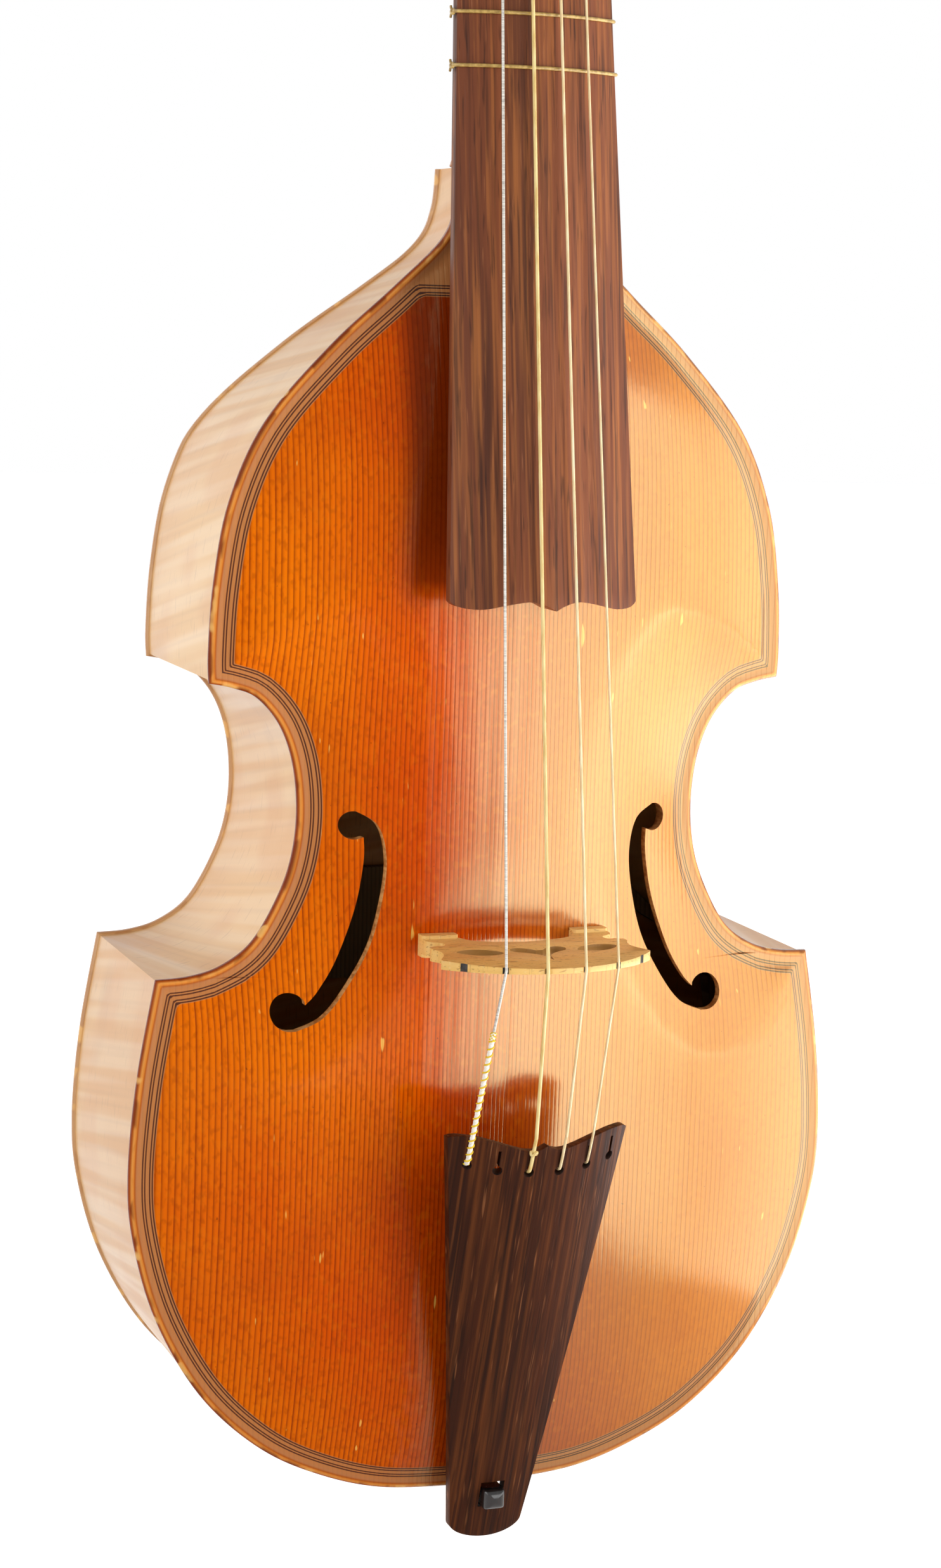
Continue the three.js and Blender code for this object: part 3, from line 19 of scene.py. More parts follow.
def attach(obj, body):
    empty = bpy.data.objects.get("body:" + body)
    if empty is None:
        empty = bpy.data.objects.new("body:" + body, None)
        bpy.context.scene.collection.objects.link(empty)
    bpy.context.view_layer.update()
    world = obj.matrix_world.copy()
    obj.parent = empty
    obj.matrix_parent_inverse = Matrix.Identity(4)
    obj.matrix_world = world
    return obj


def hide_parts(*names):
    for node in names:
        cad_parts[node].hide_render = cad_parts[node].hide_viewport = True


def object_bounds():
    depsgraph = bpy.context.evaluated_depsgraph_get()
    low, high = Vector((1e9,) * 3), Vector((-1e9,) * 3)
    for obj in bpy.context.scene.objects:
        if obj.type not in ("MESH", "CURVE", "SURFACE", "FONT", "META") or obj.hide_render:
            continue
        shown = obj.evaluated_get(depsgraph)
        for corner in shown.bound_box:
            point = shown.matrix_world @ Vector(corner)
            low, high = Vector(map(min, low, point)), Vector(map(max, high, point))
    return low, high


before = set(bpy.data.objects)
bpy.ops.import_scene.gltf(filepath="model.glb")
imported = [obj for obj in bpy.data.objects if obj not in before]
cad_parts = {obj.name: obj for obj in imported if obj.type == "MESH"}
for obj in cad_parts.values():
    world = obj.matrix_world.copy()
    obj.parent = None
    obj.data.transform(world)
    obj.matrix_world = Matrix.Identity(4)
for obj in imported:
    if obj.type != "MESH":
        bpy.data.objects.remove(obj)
cad_low, cad_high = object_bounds()
MM = 0.001
print("CAD box in metres:", [round(v, 3) for v in cad_high - cad_low])

# %% [markdown]
# ## Colours and nodes
#
# A colour is written as an sRGB code, as a picture editor shows it, but a shader reckons with linear light,
# so one function turns codes to linear values. One more function adds a node. Its inputs may be values,
# codes, sockets or other nodes, so a material reads from top to bottom like a recipe.

# %% Colour and node helpers
def linear(code):
    values = [int(code[i : i + 2], 16) / 255 for i in (1, 3, 5)]
    return (*[v / 12.92 if v <= 0.04045 else ((v + 0.055) / 1.055) ** 2.4 for v in values], 1.0)


def feed(tree, made, inputs):
    """Sets a node's inputs. A node given as a value is linked by its first output in use."""
    for key, value in inputs.items():
        if isinstance(value, bpy.types.Node):
            value = next(output for output in value.outputs if output.enabled)
        if isinstance(value, bpy.types.NodeSocket):
            tree.links.new(value, made.inputs[key])
        else:
            made.inputs[key].default_value = linear(value) if isinstance(value, str) else value


def node(tree, kind, inputs=None, stops=(), **settings):
    """Adds a node with its settings, links and, on a colour ramp, its stops."""
    made = tree.nodes.new("ShaderNode" + kind)
    for key, value in settings.items():
        setattr(made, key, value)
    feed(tree, made, inputs or {})
    for i, (place, colour) in enumerate(stops):
        element = made.color_ramp.elements[i] if i < 2 else made.color_ramp.elements.new(place)
        element.position = place
        element.color = linear(colour) if isinstance(colour, str) else (colour, colour, colour, 1)
    return made


# %% [markdown]
# ## Camera
#
# The photograph looks at the viol from its bass side and a little from above the bridge. The camera's place
# and lens were solved from the body's symmetry, so they are written as found. Its right and up directions
# give its turn.

# %% Camera
CAMERA_PLACE = (-0.31274, -0.88026, 0.17283)
CAMERA_RIGHT = (0.9354, -0.3522, 0.0309)
CAMERA_UP = (0.0239, 0.1502, 0.9884)
CAMERA_LENS = 70.5
CAMERA_SHIFT = (-0.0107, 0.0013)


def add_camera():
    data = bpy.data.cameras.new("camera")
    data.lens = CAMERA_LENS
    data.shift_x, data.shift_y = CAMERA_SHIFT
    camera = bpy.data.objects.new("camera", data)
    right = Vector(CAMERA_RIGHT).normalized()
    back = right.cross(Vector(CAMERA_UP)).normalized()
    turn = Matrix((right, back.cross(right), back)).transposed().to_4x4()
    camera.matrix_world = Matrix.Translation(CAMERA_PLACE) @ turn
    bpy.context.scene.collection.objects.link(camera)
    bpy.context.scene.camera = camera


add_camera()
print("camera lens:", CAMERA_LENS, "mm")

# %% [markdown]
# ## Light and floor
#
# Varnish shows what it mirrors, so the lamps are large soft panels, as in a studio. The tall one on the
# right lights the wood and is the pale sheen on the belly's treble half. A low one in front carries that
# sheen down, and weak ones on the left and behind open the shadows. An area lamp's power is its radiance
# times pi times its area, so that each is set by how bright it looks. White comes from the world and the
# floor as the camera and reflections see them, never from more light on the viol.

# %% Lamps
# Each lamp's name, place, direction, width, height, radiance and turn about its direction, in metres.
LAMPS = [
    ("key_softbox", (0.96, -1.03, 0.23), (-0.68, 0.73, 0), 1.7, 0.83, 3.4, 0),
    ("low_panel", (0.64, -0.62, -0.185), (0, 0, 1), 1.1, 1.3, 3.5, math.radians(14)),
    ("left_fill", (-1.5, -0.35, 0.45), (0.95, 0.25, -0.2), 1.5, 1.5, 2.3, 0),
    ("back_fill", (-0.9, 1.4, 0.4), (0.55, -0.83, -0.15), 1.6, 1.6, 0.6, 0),
]


def add_lamp(name, place, facing, width, height, radiance, turn):
    data = bpy.data.lights.new(name, "AREA")
    data.shape = "RECTANGLE"
    data.size, data.size_y = width, height
    data.energy = radiance * math.pi * width * height
    lamp = bpy.data.objects.new(name, data)
    aim = Vector(facing).to_track_quat("-Z", "Y").to_matrix().to_4x4()
    lamp.matrix_world = Matrix.Translation(place) @ aim @ Matrix.Rotation(turn, 4, "Z")
    lamp.visible_camera = False
    bpy.context.scene.collection.objects.link(lamp)
    print(name, "power:", round(data.energy, 1), "W")


# %% World and floor
WORLD_LIGHT, FLOOR_GLOW, FLOOR_DEPTH, FLOOR_SIZE = 0.3, 0.74, 0.012, 12


def empty_tree(owner):
    owner.use_nodes = True
    owner.node_tree.nodes.clear()
    return owner.node_tree


def show_white(tree, output, plain, white):
    """Shows white to the camera, gloss and glass, while the light on the viol stays plain."""
    path = node(tree, "LightPath")
    seen = path.outputs["Is Camera Ray"]
    for ray in ("Is Glossy Ray", "Is Transmission Ray"):
        seen = node(tree, "Math", {0: seen, 1: path.outputs[ray]}, operation="MAXIMUM")
    node(tree, output, {"Surface": node(tree, "MixShader", {0: seen, 1: plain, 2: white})})


def add_world():
    world = bpy.data.worlds.new("studio")
    bpy.context.scene.world = world
    tree = empty_tree(world)
    light = node(tree, "Background", {"Color": "#f4f6fa", "Strength": WORLD_LIGHT})
    show_white(tree, "OutputWorld", light, node(tree, "Background", {"Color": "#ffffff", "Strength": 1.0}))


def add_floor():
    bpy.ops.mesh.primitive_plane_add(size=FLOOR_SIZE, location=(0, 0, cad_low.z - FLOOR_DEPTH))
    floor = bpy.context.object
    floor.name = "floor"
    material = bpy.data.materials.new("pale_floor")
    tree = empty_tree(material)
    matt = node(tree, "BsdfDiffuse", {"Color": "#f2f2f2", "Roughness": 1.0})
    glow = node(tree, "Emission", {"Color": "#ffffff", "Strength": FLOOR_GLOW})
    show_white(tree, "OutputMaterial", matt, node(tree, "AddShader", {0: matt, 1: glow}))
    floor.data.materials.append(material)


bpy.context.scene.view_settings.view_transform = "Standard"
add_world()
add_floor()
for lamp in LAMPS:
    add_lamp(*lamp)

# %% [markdown]
# ## Making meshes
#
# Most of a viol is one of two things. A plate, such as the belly, has two broad faces and a rim: two flat
# grids are moved to the faces, and their borders are bridged. A bar, such as a string or the neck, is one
# ring that is extruded again and again, each new ring moved to its place on the path. Both are operators of
# Blender's own, so the faces come out whole, and only the places are worked out here.

# %% Plates and bars
def bench(points):
    """The maker's millimetres (x, y, h) to the scene's metres."""
    p = np.asarray(points, float)
    return np.stack([p[..., 0], -p[..., 2], p[..., 1]], -1) * MM


def spots(x, y, h):
    """Places from their three measures, each a table, a row or one number."""
    return np.stack(np.broadcast_arrays(x, y, h), -1)


def plate(top, under):
    """A closed plate from the places of its two faces, each a table of rows and columns."""
    bm = bmesh.new()
    for face in (bench(top), bench(under)):
        rows, columns = face.shape[0] - 1, face.shape[1] - 1
        grid = bmesh.ops.create_grid(bm, x_segments=columns, y_segments=rows, size=0.5)["verts"]
        for vert in grid:
            vert.co = face[round((vert.co.y + 0.5) * rows), round((vert.co.x + 0.5) * columns)]
    bmesh.ops.bridge_loops(bm, edges=[edge for edge in bm.edges if edge.is_boundary])
    return bm


def loop_edges(bm, ring):
    return [bm.edges.get(pair) for pair in zip(ring, ring[1:] + ring[:1])]


def bar(rings, bm=None, capped=True):
    """A bar extruded through rings of places. A closed loop of a bar has no caps and is merged later."""
    bm = bmesh.new() if bm is None else bm
    places = bench(rings)
    ring = bmesh.ops.create_circle(bm, segments=places.shape[1], radius=MM)["verts"]
    ends = []
    for i, row in enumerate(places):
        if i:
            grown = set(bmesh.ops.extrude_edge_only(bm, edges=loop_edges(bm, ring))["geom"])
            ring = [next(v for v in (e.other_vert(old) for e in old.link_edges) if v in grown)
                    for old in ring]
        for vert, place in zip(ring, row):
            vert.co = place
        if i in (0, len(places) - 1):
            ends.append(loop_edges(bm, ring))
    if capped:
        for end in ends:
            bmesh.ops.edgeloop_fill(bm, edges=end)
    return bm


def turning(profile, centre, axis, steps, bm=None):
    """A turned piece: a profile of (distance along the axis, radius) spun once round it."""
    bm = bmesh.new() if bm is None else bm
    centre, axis = Vector(bench(centre)), Vector(bench(axis)).normalized()
    side = axis.orthogonal().normalized()
    line = [bm.verts.new(centre + axis * along * MM + side * radius * MM) for along, radius in profile]
    edges = [bm.edges.new(pair) for pair in zip(line, line[1:])]
    bmesh.ops.spin(bm, geom=line + edges, cent=centre, axis=axis, angle=2 * math.pi, steps=steps,
                   use_merge=True)
    return bm


# %% [markdown]
# ## Paths and rings
#
# A curve through a few chosen points stands for a bent outline or a string's run. A round bar needs a ring
# square to its path at each point: the ring's sideways direction is carried along and straightened a little
# at each step, so the bar never twists.

# %% Lines
def smooth_line(points, steps):
    """A smooth curve through the points, with a number of steps between each two."""
    p = np.asarray(points, float)
    padded = np.vstack([p[:1], p, p[-1:]])
    share = (np.arange(steps) / steps)[:, None]
    out = []
    for a, b, c, d in zip(padded, padded[1:], padded[2:], padded[3:]):
        start, end = (c - a) / 2, (d - b) / 2
        out.append((2 * b - 2 * c + start + end) * share**3 + (-3 * b + 3 * c - 2 * start - end) * share**2
                   + start * share + b)
    return np.vstack([*out, p[-1:]])


def between(a, b, share):
    return a + (b - a) * share


def along_body(start, end, first, last):
    """A measure that changes evenly between two places along the body, as a function of y."""
    return lambda y: between(first, last, (y - start) / (end - start))


def reading(line):
    """Reads a line of (place, value) points at any place."""
    return lambda place: np.interp(place, line[:, 0], line[:, 1])


def in_frame(shares, low, high):
    """Places in a rectangle, given as shares of its sides."""
    return between(np.array(low, float), np.array(high, float), np.array(shares))


def even_points(line, count):
    """Points at even distances along a line, and those distances."""
    run = np.concatenate([[0], np.cumsum(np.linalg.norm(np.diff(line, axis=0), axis=1))])
    where = np.linspace(0, run[-1], count)
    return np.stack([np.interp(where, run, column) for column in line.T], -1), where


# %% Rings
NO_PATH_STARTS = (0.31, 0.2, 0.93)


def circle(count):
    return 2 * np.pi * np.arange(count) / count


def squared(wave, power):
    """A sine or cosine whose circle is drawn towards a square, the more the lower the power."""
    return np.sign(wave) * np.abs(wave) ** power


def round_rings(path, radius, sides, looped=False):
    """Rings round a path; the radius may change along it."""
    path = np.asarray(path, float)
    along = np.roll(path, -1, 0) - np.roll(path, 1, 0) if looped else np.gradient(path, axis=0)
    along /= np.linalg.norm(along, axis=1, keepdims=True)
    across = np.cross(along[0], NO_PATH_STARTS)
    angles = circle(sides)
    rings = []
    for p, t, r in zip(path, along, np.broadcast_to(radius, len(path))):
        across = across - t * (across @ t)
        across /= np.linalg.norm(across)
        out = np.outer(np.cos(angles), across) + np.outer(np.sin(angles), np.cross(t, across))
        rings.append(p + r * out)
    return [*rings, rings[0]] if looped else rings


# %% [markdown]
# ## Finishing a piece
#
# Every piece ends the same way: points that fell together are merged, the normals are turned outwards, the
# faces are shaded smooth except over sharp edges, the piece is put on the body it rides on, and the CAD
# solid it stands for is hidden. Cuts use the exact boolean, because thin wood leaves no room for a fast
# guess, and modifiers are turned into mesh at once, because later cuts need the real edges.

# %% Build and fit
MERGE, SHARP = 0.002 * MM, 38
FACES = {}


def shade(made, sharp=SHARP):
    made.data.shade_smooth()
    made.data.set_sharp_from_angle(angle=math.radians(sharp))


def build(name, bm, *materials, sharp=SHARP):
    """Turns a bmesh into an object, with its points merged and its faces outwards."""
    bmesh.ops.remove_doubles(bm, verts=bm.verts, dist=MERGE)
    bmesh.ops.recalc_face_normals(bm, faces=bm.faces)
    mesh = bpy.data.meshes.new(name)
    bm.to_mesh(mesh)
    bm.free()
    made = bpy.data.objects.new(name, mesh)
    bpy.context.scene.collection.objects.link(made)
    for material in materials:
        mesh.materials.append(material)
    shade(made, sharp)
    return made


def fit(made, node_name, body="body"):
    """Puts a finished piece in the place of its CAD node."""
    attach(made, body)
    if node_name:
        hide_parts(node_name)
    FACES[made.name] = len(made.data.polygons)


# %% Cut and soften
def add_modifier(made, kind, **settings):
    modifier = made.modifiers.new(kind, kind)
    for key, value in settings.items():
        setattr(modifier, key, value)


def bake(made):
    graph = bpy.context.evaluated_depsgraph_get()
    mesh = bpy.data.meshes.new_from_object(made.evaluated_get(graph))
    made.modifiers.clear()
    made.data = mesh


def soften(made, width, segments=2, angle=40):
    """Rounds the sharp edges, as sandpaper does."""
    add_modifier(made, "BEVEL", width=width * MM, segments=segments, limit_method="ANGLE",
                 angle_limit=math.radians(angle))
    bake(made)
    shade(made)


def cut(made, *cutters, operation="DIFFERENCE"):
    for cutter in cutters:
        add_modifier(made, "BOOLEAN", operation=operation, solver="EXACT", object=cutter,
                     material_mode="TRANSFER")
    bpy.context.view_layer.update()
    bake(made)
    for cutter in cutters:
        bpy.data.objects.remove(cutter)


def prism(name, loop, heights, material):
    """A straight block with an outline, used to cut with."""
    return build(name, bar([[(x, y, h) for x, y in loop] for h in heights]), material)


def block(name, across, along, heights, material):
    (left, right), (low, high) = across, along
    return prism(name, [(left, low), (right, low), (right, high), (left, high)], heights, material)


def store(made, name, measure):
    """Stores a measure of each point's x and y, in millimetres, as an attribute."""
    points = np.array([v.co[:] for v in made.data.vertices]) / MM
    values = measure(points[:, 0], points[:, 2])
    made.data.attributes.new(name, "FLOAT", "POINT").data.foreach_set("value", values)


# %% [markdown]
# ## Grain, wear and stain
#
# Wood is never one colour. Its marks are noise, stretched along the grain to the size that the real marks
# have in millimetres, then cut to a range, so that only the peaks show. `marks` makes one such pattern, and
# `lay_over` lays several over a base colour, each with its own strength and tone. Patterns read the piece's
# own coordinates, so they stay put when a peg turns or a fret slides.

# %% Finish helpers
def start_finish(name, sockets, turn=(0, 0, 0)):
    """A new material with the shader's fixed sockets set: material, tree, shader and coordinates.
    A turn lays the grain, which runs along Z, in the piece's own direction."""
    material = bpy.data.materials.new(name)
    material.use_nodes = True
    tree = material.node_tree
    shader = tree.nodes["Principled BSDF"]
    feed(tree, shader, sockets)
    place = node(tree, "TexCoord").outputs["Object"]
    if any(turn):
        place = node(tree, "Mapping", {"Vector": place, "Rotation": turn})
    return material, tree, shader, place


def marks(tree, place, size, low=0.0, high=1.0, share=1.0, detail=1.0, warp=0.0, base=0.0):
    """Noise of a size in millimetres, cut to a range: base below low, and share above high."""
    stretched = node(tree, "Mapping", {"Vector": place, "Scale": [1 / (s * MM) for s in size]})
    noise = node(tree, "TexNoise", {"Vector": stretched, "Scale": 1.0, "Detail": detail, "Distortion": warp})
    return node(tree, "MapRange", {"Value": noise, "From Min": low, "From Max": high, "To Min": base,
                                   "To Max": share}, interpolation_type="SMOOTHSTEP")


def lay_over(tree, place, colour, layers):
    """Lays tones over a colour. A layer is (share, tone), or marks: (size, low, high, share, tone)."""
    for *cover, tone in layers:
        share = marks(tree, place, *cover) if len(cover) > 1 else cover[0]
        colour = node(tree, "Mix", {0: share, 6: colour, 7: tone}, data_type="RGBA")
    return colour


def two_tones(tree, place, size, first, second, detail=3.0):
    cloud = marks(tree, place, size, 0.32, 0.68, detail=detail)
    return lay_over(tree, place, first, [(cloud, second)])


def relief(tree, *layers):
    """Bumps laid over each other: each is (height, depth in millimetres)."""
    under = {}
    for height, depth in layers:
        under["Normal"] = node(tree, "Bump", {"Height": height, "Distance": depth * MM, **under})
    return under["Normal"]


# %% [markdown]
# ## The inlaid edge
#
# Round each plate runs the purfling: thin dark strips let into a groove, here two pairs. Outside them the
# edge is handled most, worn to a greyish tan. Its rounded rim is a bright band, worn wood with a painted
# highlight, between darker lines. Every plate stores each point's distance to its edge as an attribute. A
# colour ramp over that distance draws all the lines at once, sharper than separate thin pieces would.

# %% Inlaid edge
LOWER_HALF = 107
PURFLING_LINES, LINE_HALF, LINE_BLEND = (3.75, 4.45, 5.7, 6.4), 0.15, 0.08
EDGE_BAND, EDGE_RAMP = 6.9, 8.0
BAND_BLEND, BAND_SHARE, WORN_END, WORN_START, WORN_SHARE = 0.25, 0.9, 1.5, 0.5, 0.8
# Each rim's tones by distance from the edge in millimetres: the bright band on the rounding is worn wood
# with a painted highlight.
BELLY_RIM_AND_HIGHLIGHT = [(0.0, "#7c2e0e"), (0.3, "#a84c16"), (0.75, "#e39a4a"), (1.25, "#d98434"), (1.6, "#a9541c"),
             (2.1, "#b5794c")]
BACK_RIM_AND_HIGHLIGHT = [(0.0, "#bd8650"), (0.8, "#dcae76"), (1.6, "#b27c48"), (2.1, "#b5794c")]


def inlaid_edge(tree, place, colour, rim_and_highlight, line_tone, strip_tone):
    """Draws the rim with its painted highlight, strips and purfling over a plate's colour."""
    distance = node(tree, "Attribute", attribute_name="edge_distance").outputs["Fac"]
    stops = list(rim_and_highlight)
    for line in PURFLING_LINES:
        stops += [(line - LINE_HALF - LINE_BLEND, strip_tone), (line - LINE_HALF, line_tone),
                  (line + LINE_HALF, line_tone), (line + LINE_HALF + LINE_BLEND, strip_tone)]
    scaled = node(tree, "Math", {0: distance, 1: EDGE_RAMP}, operation="DIVIDE")
    ramp = node(tree, "ValToRGB", {"Fac": scaled}, stops=[(d / EDGE_RAMP, tone) for d, tone in stops])
    band = node(tree, "MapRange", {"Value": distance, "From Min": EDGE_BAND,
                                   "From Max": EDGE_BAND - BAND_BLEND, "To Max": BAND_SHARE})
    worn = node(tree, "MapRange", {"Value": distance, "From Min": WORN_END, "From Max": WORN_START,
                                   "To Max": WORN_SHARE})
    return lay_over(tree, place, colour, [
        (band, ramp),
        ((5, 5, 9), 0.5, 0.62, worn, rim_and_highlight[0][1]),
        ((7, 7, 7), 0.62, 0.7, worn, "#f0b868")])


# %% [markdown]
# ## Varnished spruce
#
# The belly is spruce, split on the quarter, so its year rings stand on edge and run along it as lines. They
# are close at the middle joint and wider towards the edges. In each ring the summer wood darkens slowly to a
# sharp winter line. The red-orange oil varnish is glossy but old: it has sunk along the rings, so mirrored
# lamps break up into streaks, and it is thinner and paler on the treble side, where it has been handled.

# %% Year rings
GRAIN_MIDDLE, GRAIN_EDGE, GRAIN_WANDER, GLOSS_BREAK = 1.2, 1.8, 2.0, 12
RING_DARKNESS = [(0.0, 0.0), (0.35, 0.04), (0.62, 0.3), (0.78, 0.75), (0.88, 1.0), (0.95, 0.9), (1.0, 0.0)]


def year_rings(tree, place):
    """The piece's axes and the count of year rings from the middle joint."""
    axes = node(tree, "SeparateXYZ", {"Vector": place})
    wander = marks(tree, place, (70, 70, 220), share=GRAIN_WANDER, detail=2)
    away = node(tree, "Math", {0: axes}, operation="ABSOLUTE")
    away = node(tree, "Math", {0: away, 1: 1 / MM, 2: wander}, operation="MULTIPLY_ADD")
    widening = (GRAIN_EDGE / GRAIN_MIDDLE - 1) / LOWER_HALF
    spread = node(tree, "Math", {0: away, 1: widening, 2: 1.0}, operation="MULTIPLY_ADD")
    spread = node(tree, "Math", {0: spread, 1: math.e}, operation="LOGARITHM")
    return axes, node(tree, "Math", {0: spread, 1: widening * GRAIN_MIDDLE}, operation="DIVIDE")


def winter_lines(tree, rings, share):
    """How much of a winter line shows: its place in the ring, some years stronger than others."""
    within = node(tree, "Math", {0: rings}, operation="FRACT")
    line = node(tree, "ValToRGB", {"Fac": within}, stops=RING_DARKNESS)
    year = node(tree, "Math", {0: rings}, operation="FLOOR")
    year = node(tree, "TexWhiteNoise", {"W": year}, noise_dimensions="1D")
    year = node(tree, "MapRange", {"Value": year, "To Min": 0.7 * share, "To Max": share})
    return node(tree, "Math", {0: line, 1: year}, operation="MULTIPLY")


def bare_spruce():
    material, tree, shader, place = start_finish("bare_spruce", {
        "Roughness": 0.7, "Specular IOR Level": 0.2})
    lines = winter_lines(tree, year_rings(tree, place)[1], 0.6)
    base = two_tones(tree, place, (90, 90, 200), "#7c5a34", "#8e6c44")
    feed(tree, shader, {"Base Color": lay_over(tree, place, base, [(lines, "#553a1e")]),
                        "Normal": relief(tree, (lines, 0.02))})
    return material


# %% Varnish
# The varnish's two tones of ground and its winter lines, at places from the bass to the treble edge.
VARNISH_PLACES = (0, 0.4, 0.5, 0.6, 0.74, 1)
VARNISH_TONES = [("#d65000", "#cc4500", "#a83300", "#b44c06", "#c66e18", "#c4701c"),
                 ("#f28002", "#ea6e00", "#c44900", "#ca620e", "#d68222", "#d4882e"),
                 ("#943000", "#8c2a00", "#761c00", "#86320a", "#a45416", "#ac5e1e")]
VARNISH_GLOSS = [(0.4, 0.03), (0.52, 0.72), (0.65, 0.66), (0.82, 0.42)]
LOW_END, LOW_END_GLOSS = (-165, -115), 0.55
# Painted shadow and painted reflection of the board, dark in the varnish beside the board's bass edge: an
# axis, from where to where, and how much.
BOARD_SHADOW_AND_REFLECTION = [("X", -37, -31, 1), ("Z", 94, 102, 1), ("X", 20, -20, 0.75)]


def across_belly(tree, x):
    """A place across the belly as a share of its width, from the bass to the treble edge."""
    return node(tree, "MapRange", {"Value": x, "From Min": -LOWER_HALF * MM, "From Max": LOWER_HALF * MM})


def varnish_colour(tree, place, axes, lines):
    side = marks(tree, place, (200, 200, 250), share=0.02, detail=2, base=-0.02)
    side = across_belly(tree, node(tree, "Math", {0: axes, 1: side}, operation="ADD"))
    darker, lighter, winter = (node(tree, "ValToRGB", {"Fac": side}, stops=list(zip(VARNISH_PLACES, tones)))
                               for tones in VARNISH_TONES)
    flecks = node(tree, "MapRange", {"Value": side, "From Min": 0.42, "From Max": 0.7, "To Min": 0.3,
                                     "To Max": 0.12})
    # The board's painted shadow and painted reflection, masked by three ranges and laid into the colour.
    painted_board_shade = 1.0
    for axis, start, full, most in BOARD_SHADOW_AND_REFLECTION:
        part = node(tree, "MapRange", {"Value": axes.outputs[axis], "From Min": start * MM,
                                       "From Max": full * MM, "To Max": most})
        painted_board_shade = node(tree, "Math", {0: painted_board_shade, 1: part}, operation="MULTIPLY")
    return lay_over(tree, place, darker, [
        (marks(tree, place, (90, 90, 160), 0.32, 0.68, detail=4), lighter),
        (lines, winter),
        ((2.0, 2.0, 3.0), 0.5, 0.75, 0.13, "#ea8410"),
        ((1.5, 1.5, 2.4), 0.48, 0.74, flecks, "#8c2c00"),
        ((40, 40, 40), 0.56, 0.76, 0.22, "#a8430a"),
        ((1.8, 1.8, 12), 0.77, 0.81, 0.7, "#f6c25a"),
        ((0.9, 0.9, 1.4), 0.78, 0.82, 0.6, "#5c2006"),
        (painted_board_shade, "#6e2206")])


def varnished_spruce():
    material, tree, shader, place = start_finish("varnished_spruce", {
        "IOR": 1.8, "Specular Tint": "#fff2b8", "Coat Weight": 0.03, "Coat Roughness": 0.08})
    axes, rings = year_rings(tree, place)
    lines = winter_lines(tree, rings, 0.92)
    colour = varnish_colour(tree, place, axes, lines)
    ripple = marks(tree, place, (1.4, 1.4, 60), detail=2)
    surface = relief(tree, (lines, -0.032), (marks(tree, place, (26, 26, 60), detail=2), 0.09),
                     (ripple, 0.012), (marks(tree, place, (2.2, 2.2, 2.2), detail=2), 0.008))
    rubbed = node(tree, "Math", {0: ripple, 1: GLOSS_BREAK * MM, 2: axes}, operation="MULTIPLY_ADD")
    gloss = node(tree, "ValToRGB", {"Fac": across_belly(tree, rubbed)}, stops=VARNISH_GLOSS)
    low_end = node(tree, "MapRange", {"Value": axes.outputs["Z"], "From Min": LOW_END[0] * MM,
                                      "From Max": LOW_END[1] * MM, "To Min": LOW_END_GLOSS})
    feed(tree, shader, {
        "Base Color": inlaid_edge(tree, place, colour, BELLY_RIM_AND_HIGHLIGHT, "#3e2a26", "#bc7c48"),
        "Normal": surface, "Coat Normal": surface,
        "Specular IOR Level": node(tree, "Math", {0: gloss, 1: low_end}, operation="MULTIPLY"),
        "Roughness": marks(tree, place, (60, 60, 60), 0.3, 0.8, 0.2, base=0.12)})
    return material


varnish, raw_spruce = varnished_spruce(), bare_spruce()
print("spruce finishes:", varnish.name, "and", raw_spruce.name)

# %% [markdown]
# ## Flamed maple
#
# Back, ribs, neck and scroll are maple. Its fibres weave from side to side, and where they dip, light bands
# lie across the grain: the flame. Bands repeat every 5 to 7 mm along the wood and run right across it. Ribs
# are bent, so their pattern follows an attribute that stores how far along the rib a point lies. The back is
# two halves of one board, opened like a book, so its pattern is folded at the joint. The finish is a
# thinner, duller coat than the belly's, brown in the pores.

# %% Maple
FLAME_REACH, RIB_LEAN, BACK_LEAN = 160, 0.2, 0.22


def maple(name, sockets, tones, flame_every, flame_share, bent=False, inlaid=False, flecks=()):
    """Maple in four tones: two of ground, the flame's and the pores'."""
    material, tree, shader, place = start_finish(name, sockets)
    along = place
    if bent or inlaid:
        axes = node(tree, "SeparateXYZ", {"Vector": place})
    if bent:
        run = node(tree, "Attribute", attribute_name="along").outputs["Fac"]
        leaning = node(tree, "Math", {0: axes.outputs["Y"], 1: RIB_LEAN, 2: run}, operation="MULTIPLY_ADD")
        along = node(tree, "CombineXYZ", {"Y": axes.outputs["Y"], "Z": leaning})
    if inlaid:
        folded = node(tree, "Math", {0: axes}, operation="ABSOLUTE")
        leaning = node(tree, "Math", {0: folded, 1: BACK_LEAN, 2: axes.outputs["Z"]},
                       operation="MULTIPLY_ADD")
        along = node(tree, "CombineXYZ", {"X": folded, "Y": axes.outputs["Y"], "Z": leaning})
    base = two_tones(tree, along, (120, 120, 160), tones[0], tones[1])
    bands = (FLAME_REACH, FLAME_REACH, flame_every)
    flame = marks(tree, along, bands, 0.38, 0.62, flame_share, warp=0.3)
    colour = lay_over(tree, along, base, [
        (flame, tones[2]),
        ((40, FLAME_REACH, 2.2), 0.45, 0.75, 0.16, tones[3]),
        ((0.7, 1.2, 7), 0.62, 0.74, 0.3, tones[3]),
        ((38, 38, 38), 0.6, 0.74, 0.25, tones[3]),
        *flecks])
    if inlaid:
        colour = inlaid_edge(tree, place, colour, BACK_RIM_AND_HIGHLIGHT, "#3c2418", tones[1])
    feed(tree, shader, {"Base Color": colour,
                        "Normal": relief(tree, (flame, 0.05), (marks(tree, along, (0.8, 0.8, 5)), 0.012)),
                        "Roughness": marks(tree, along, bands, 0.4, 0.6, 0.3, base=0.42)})
    return material


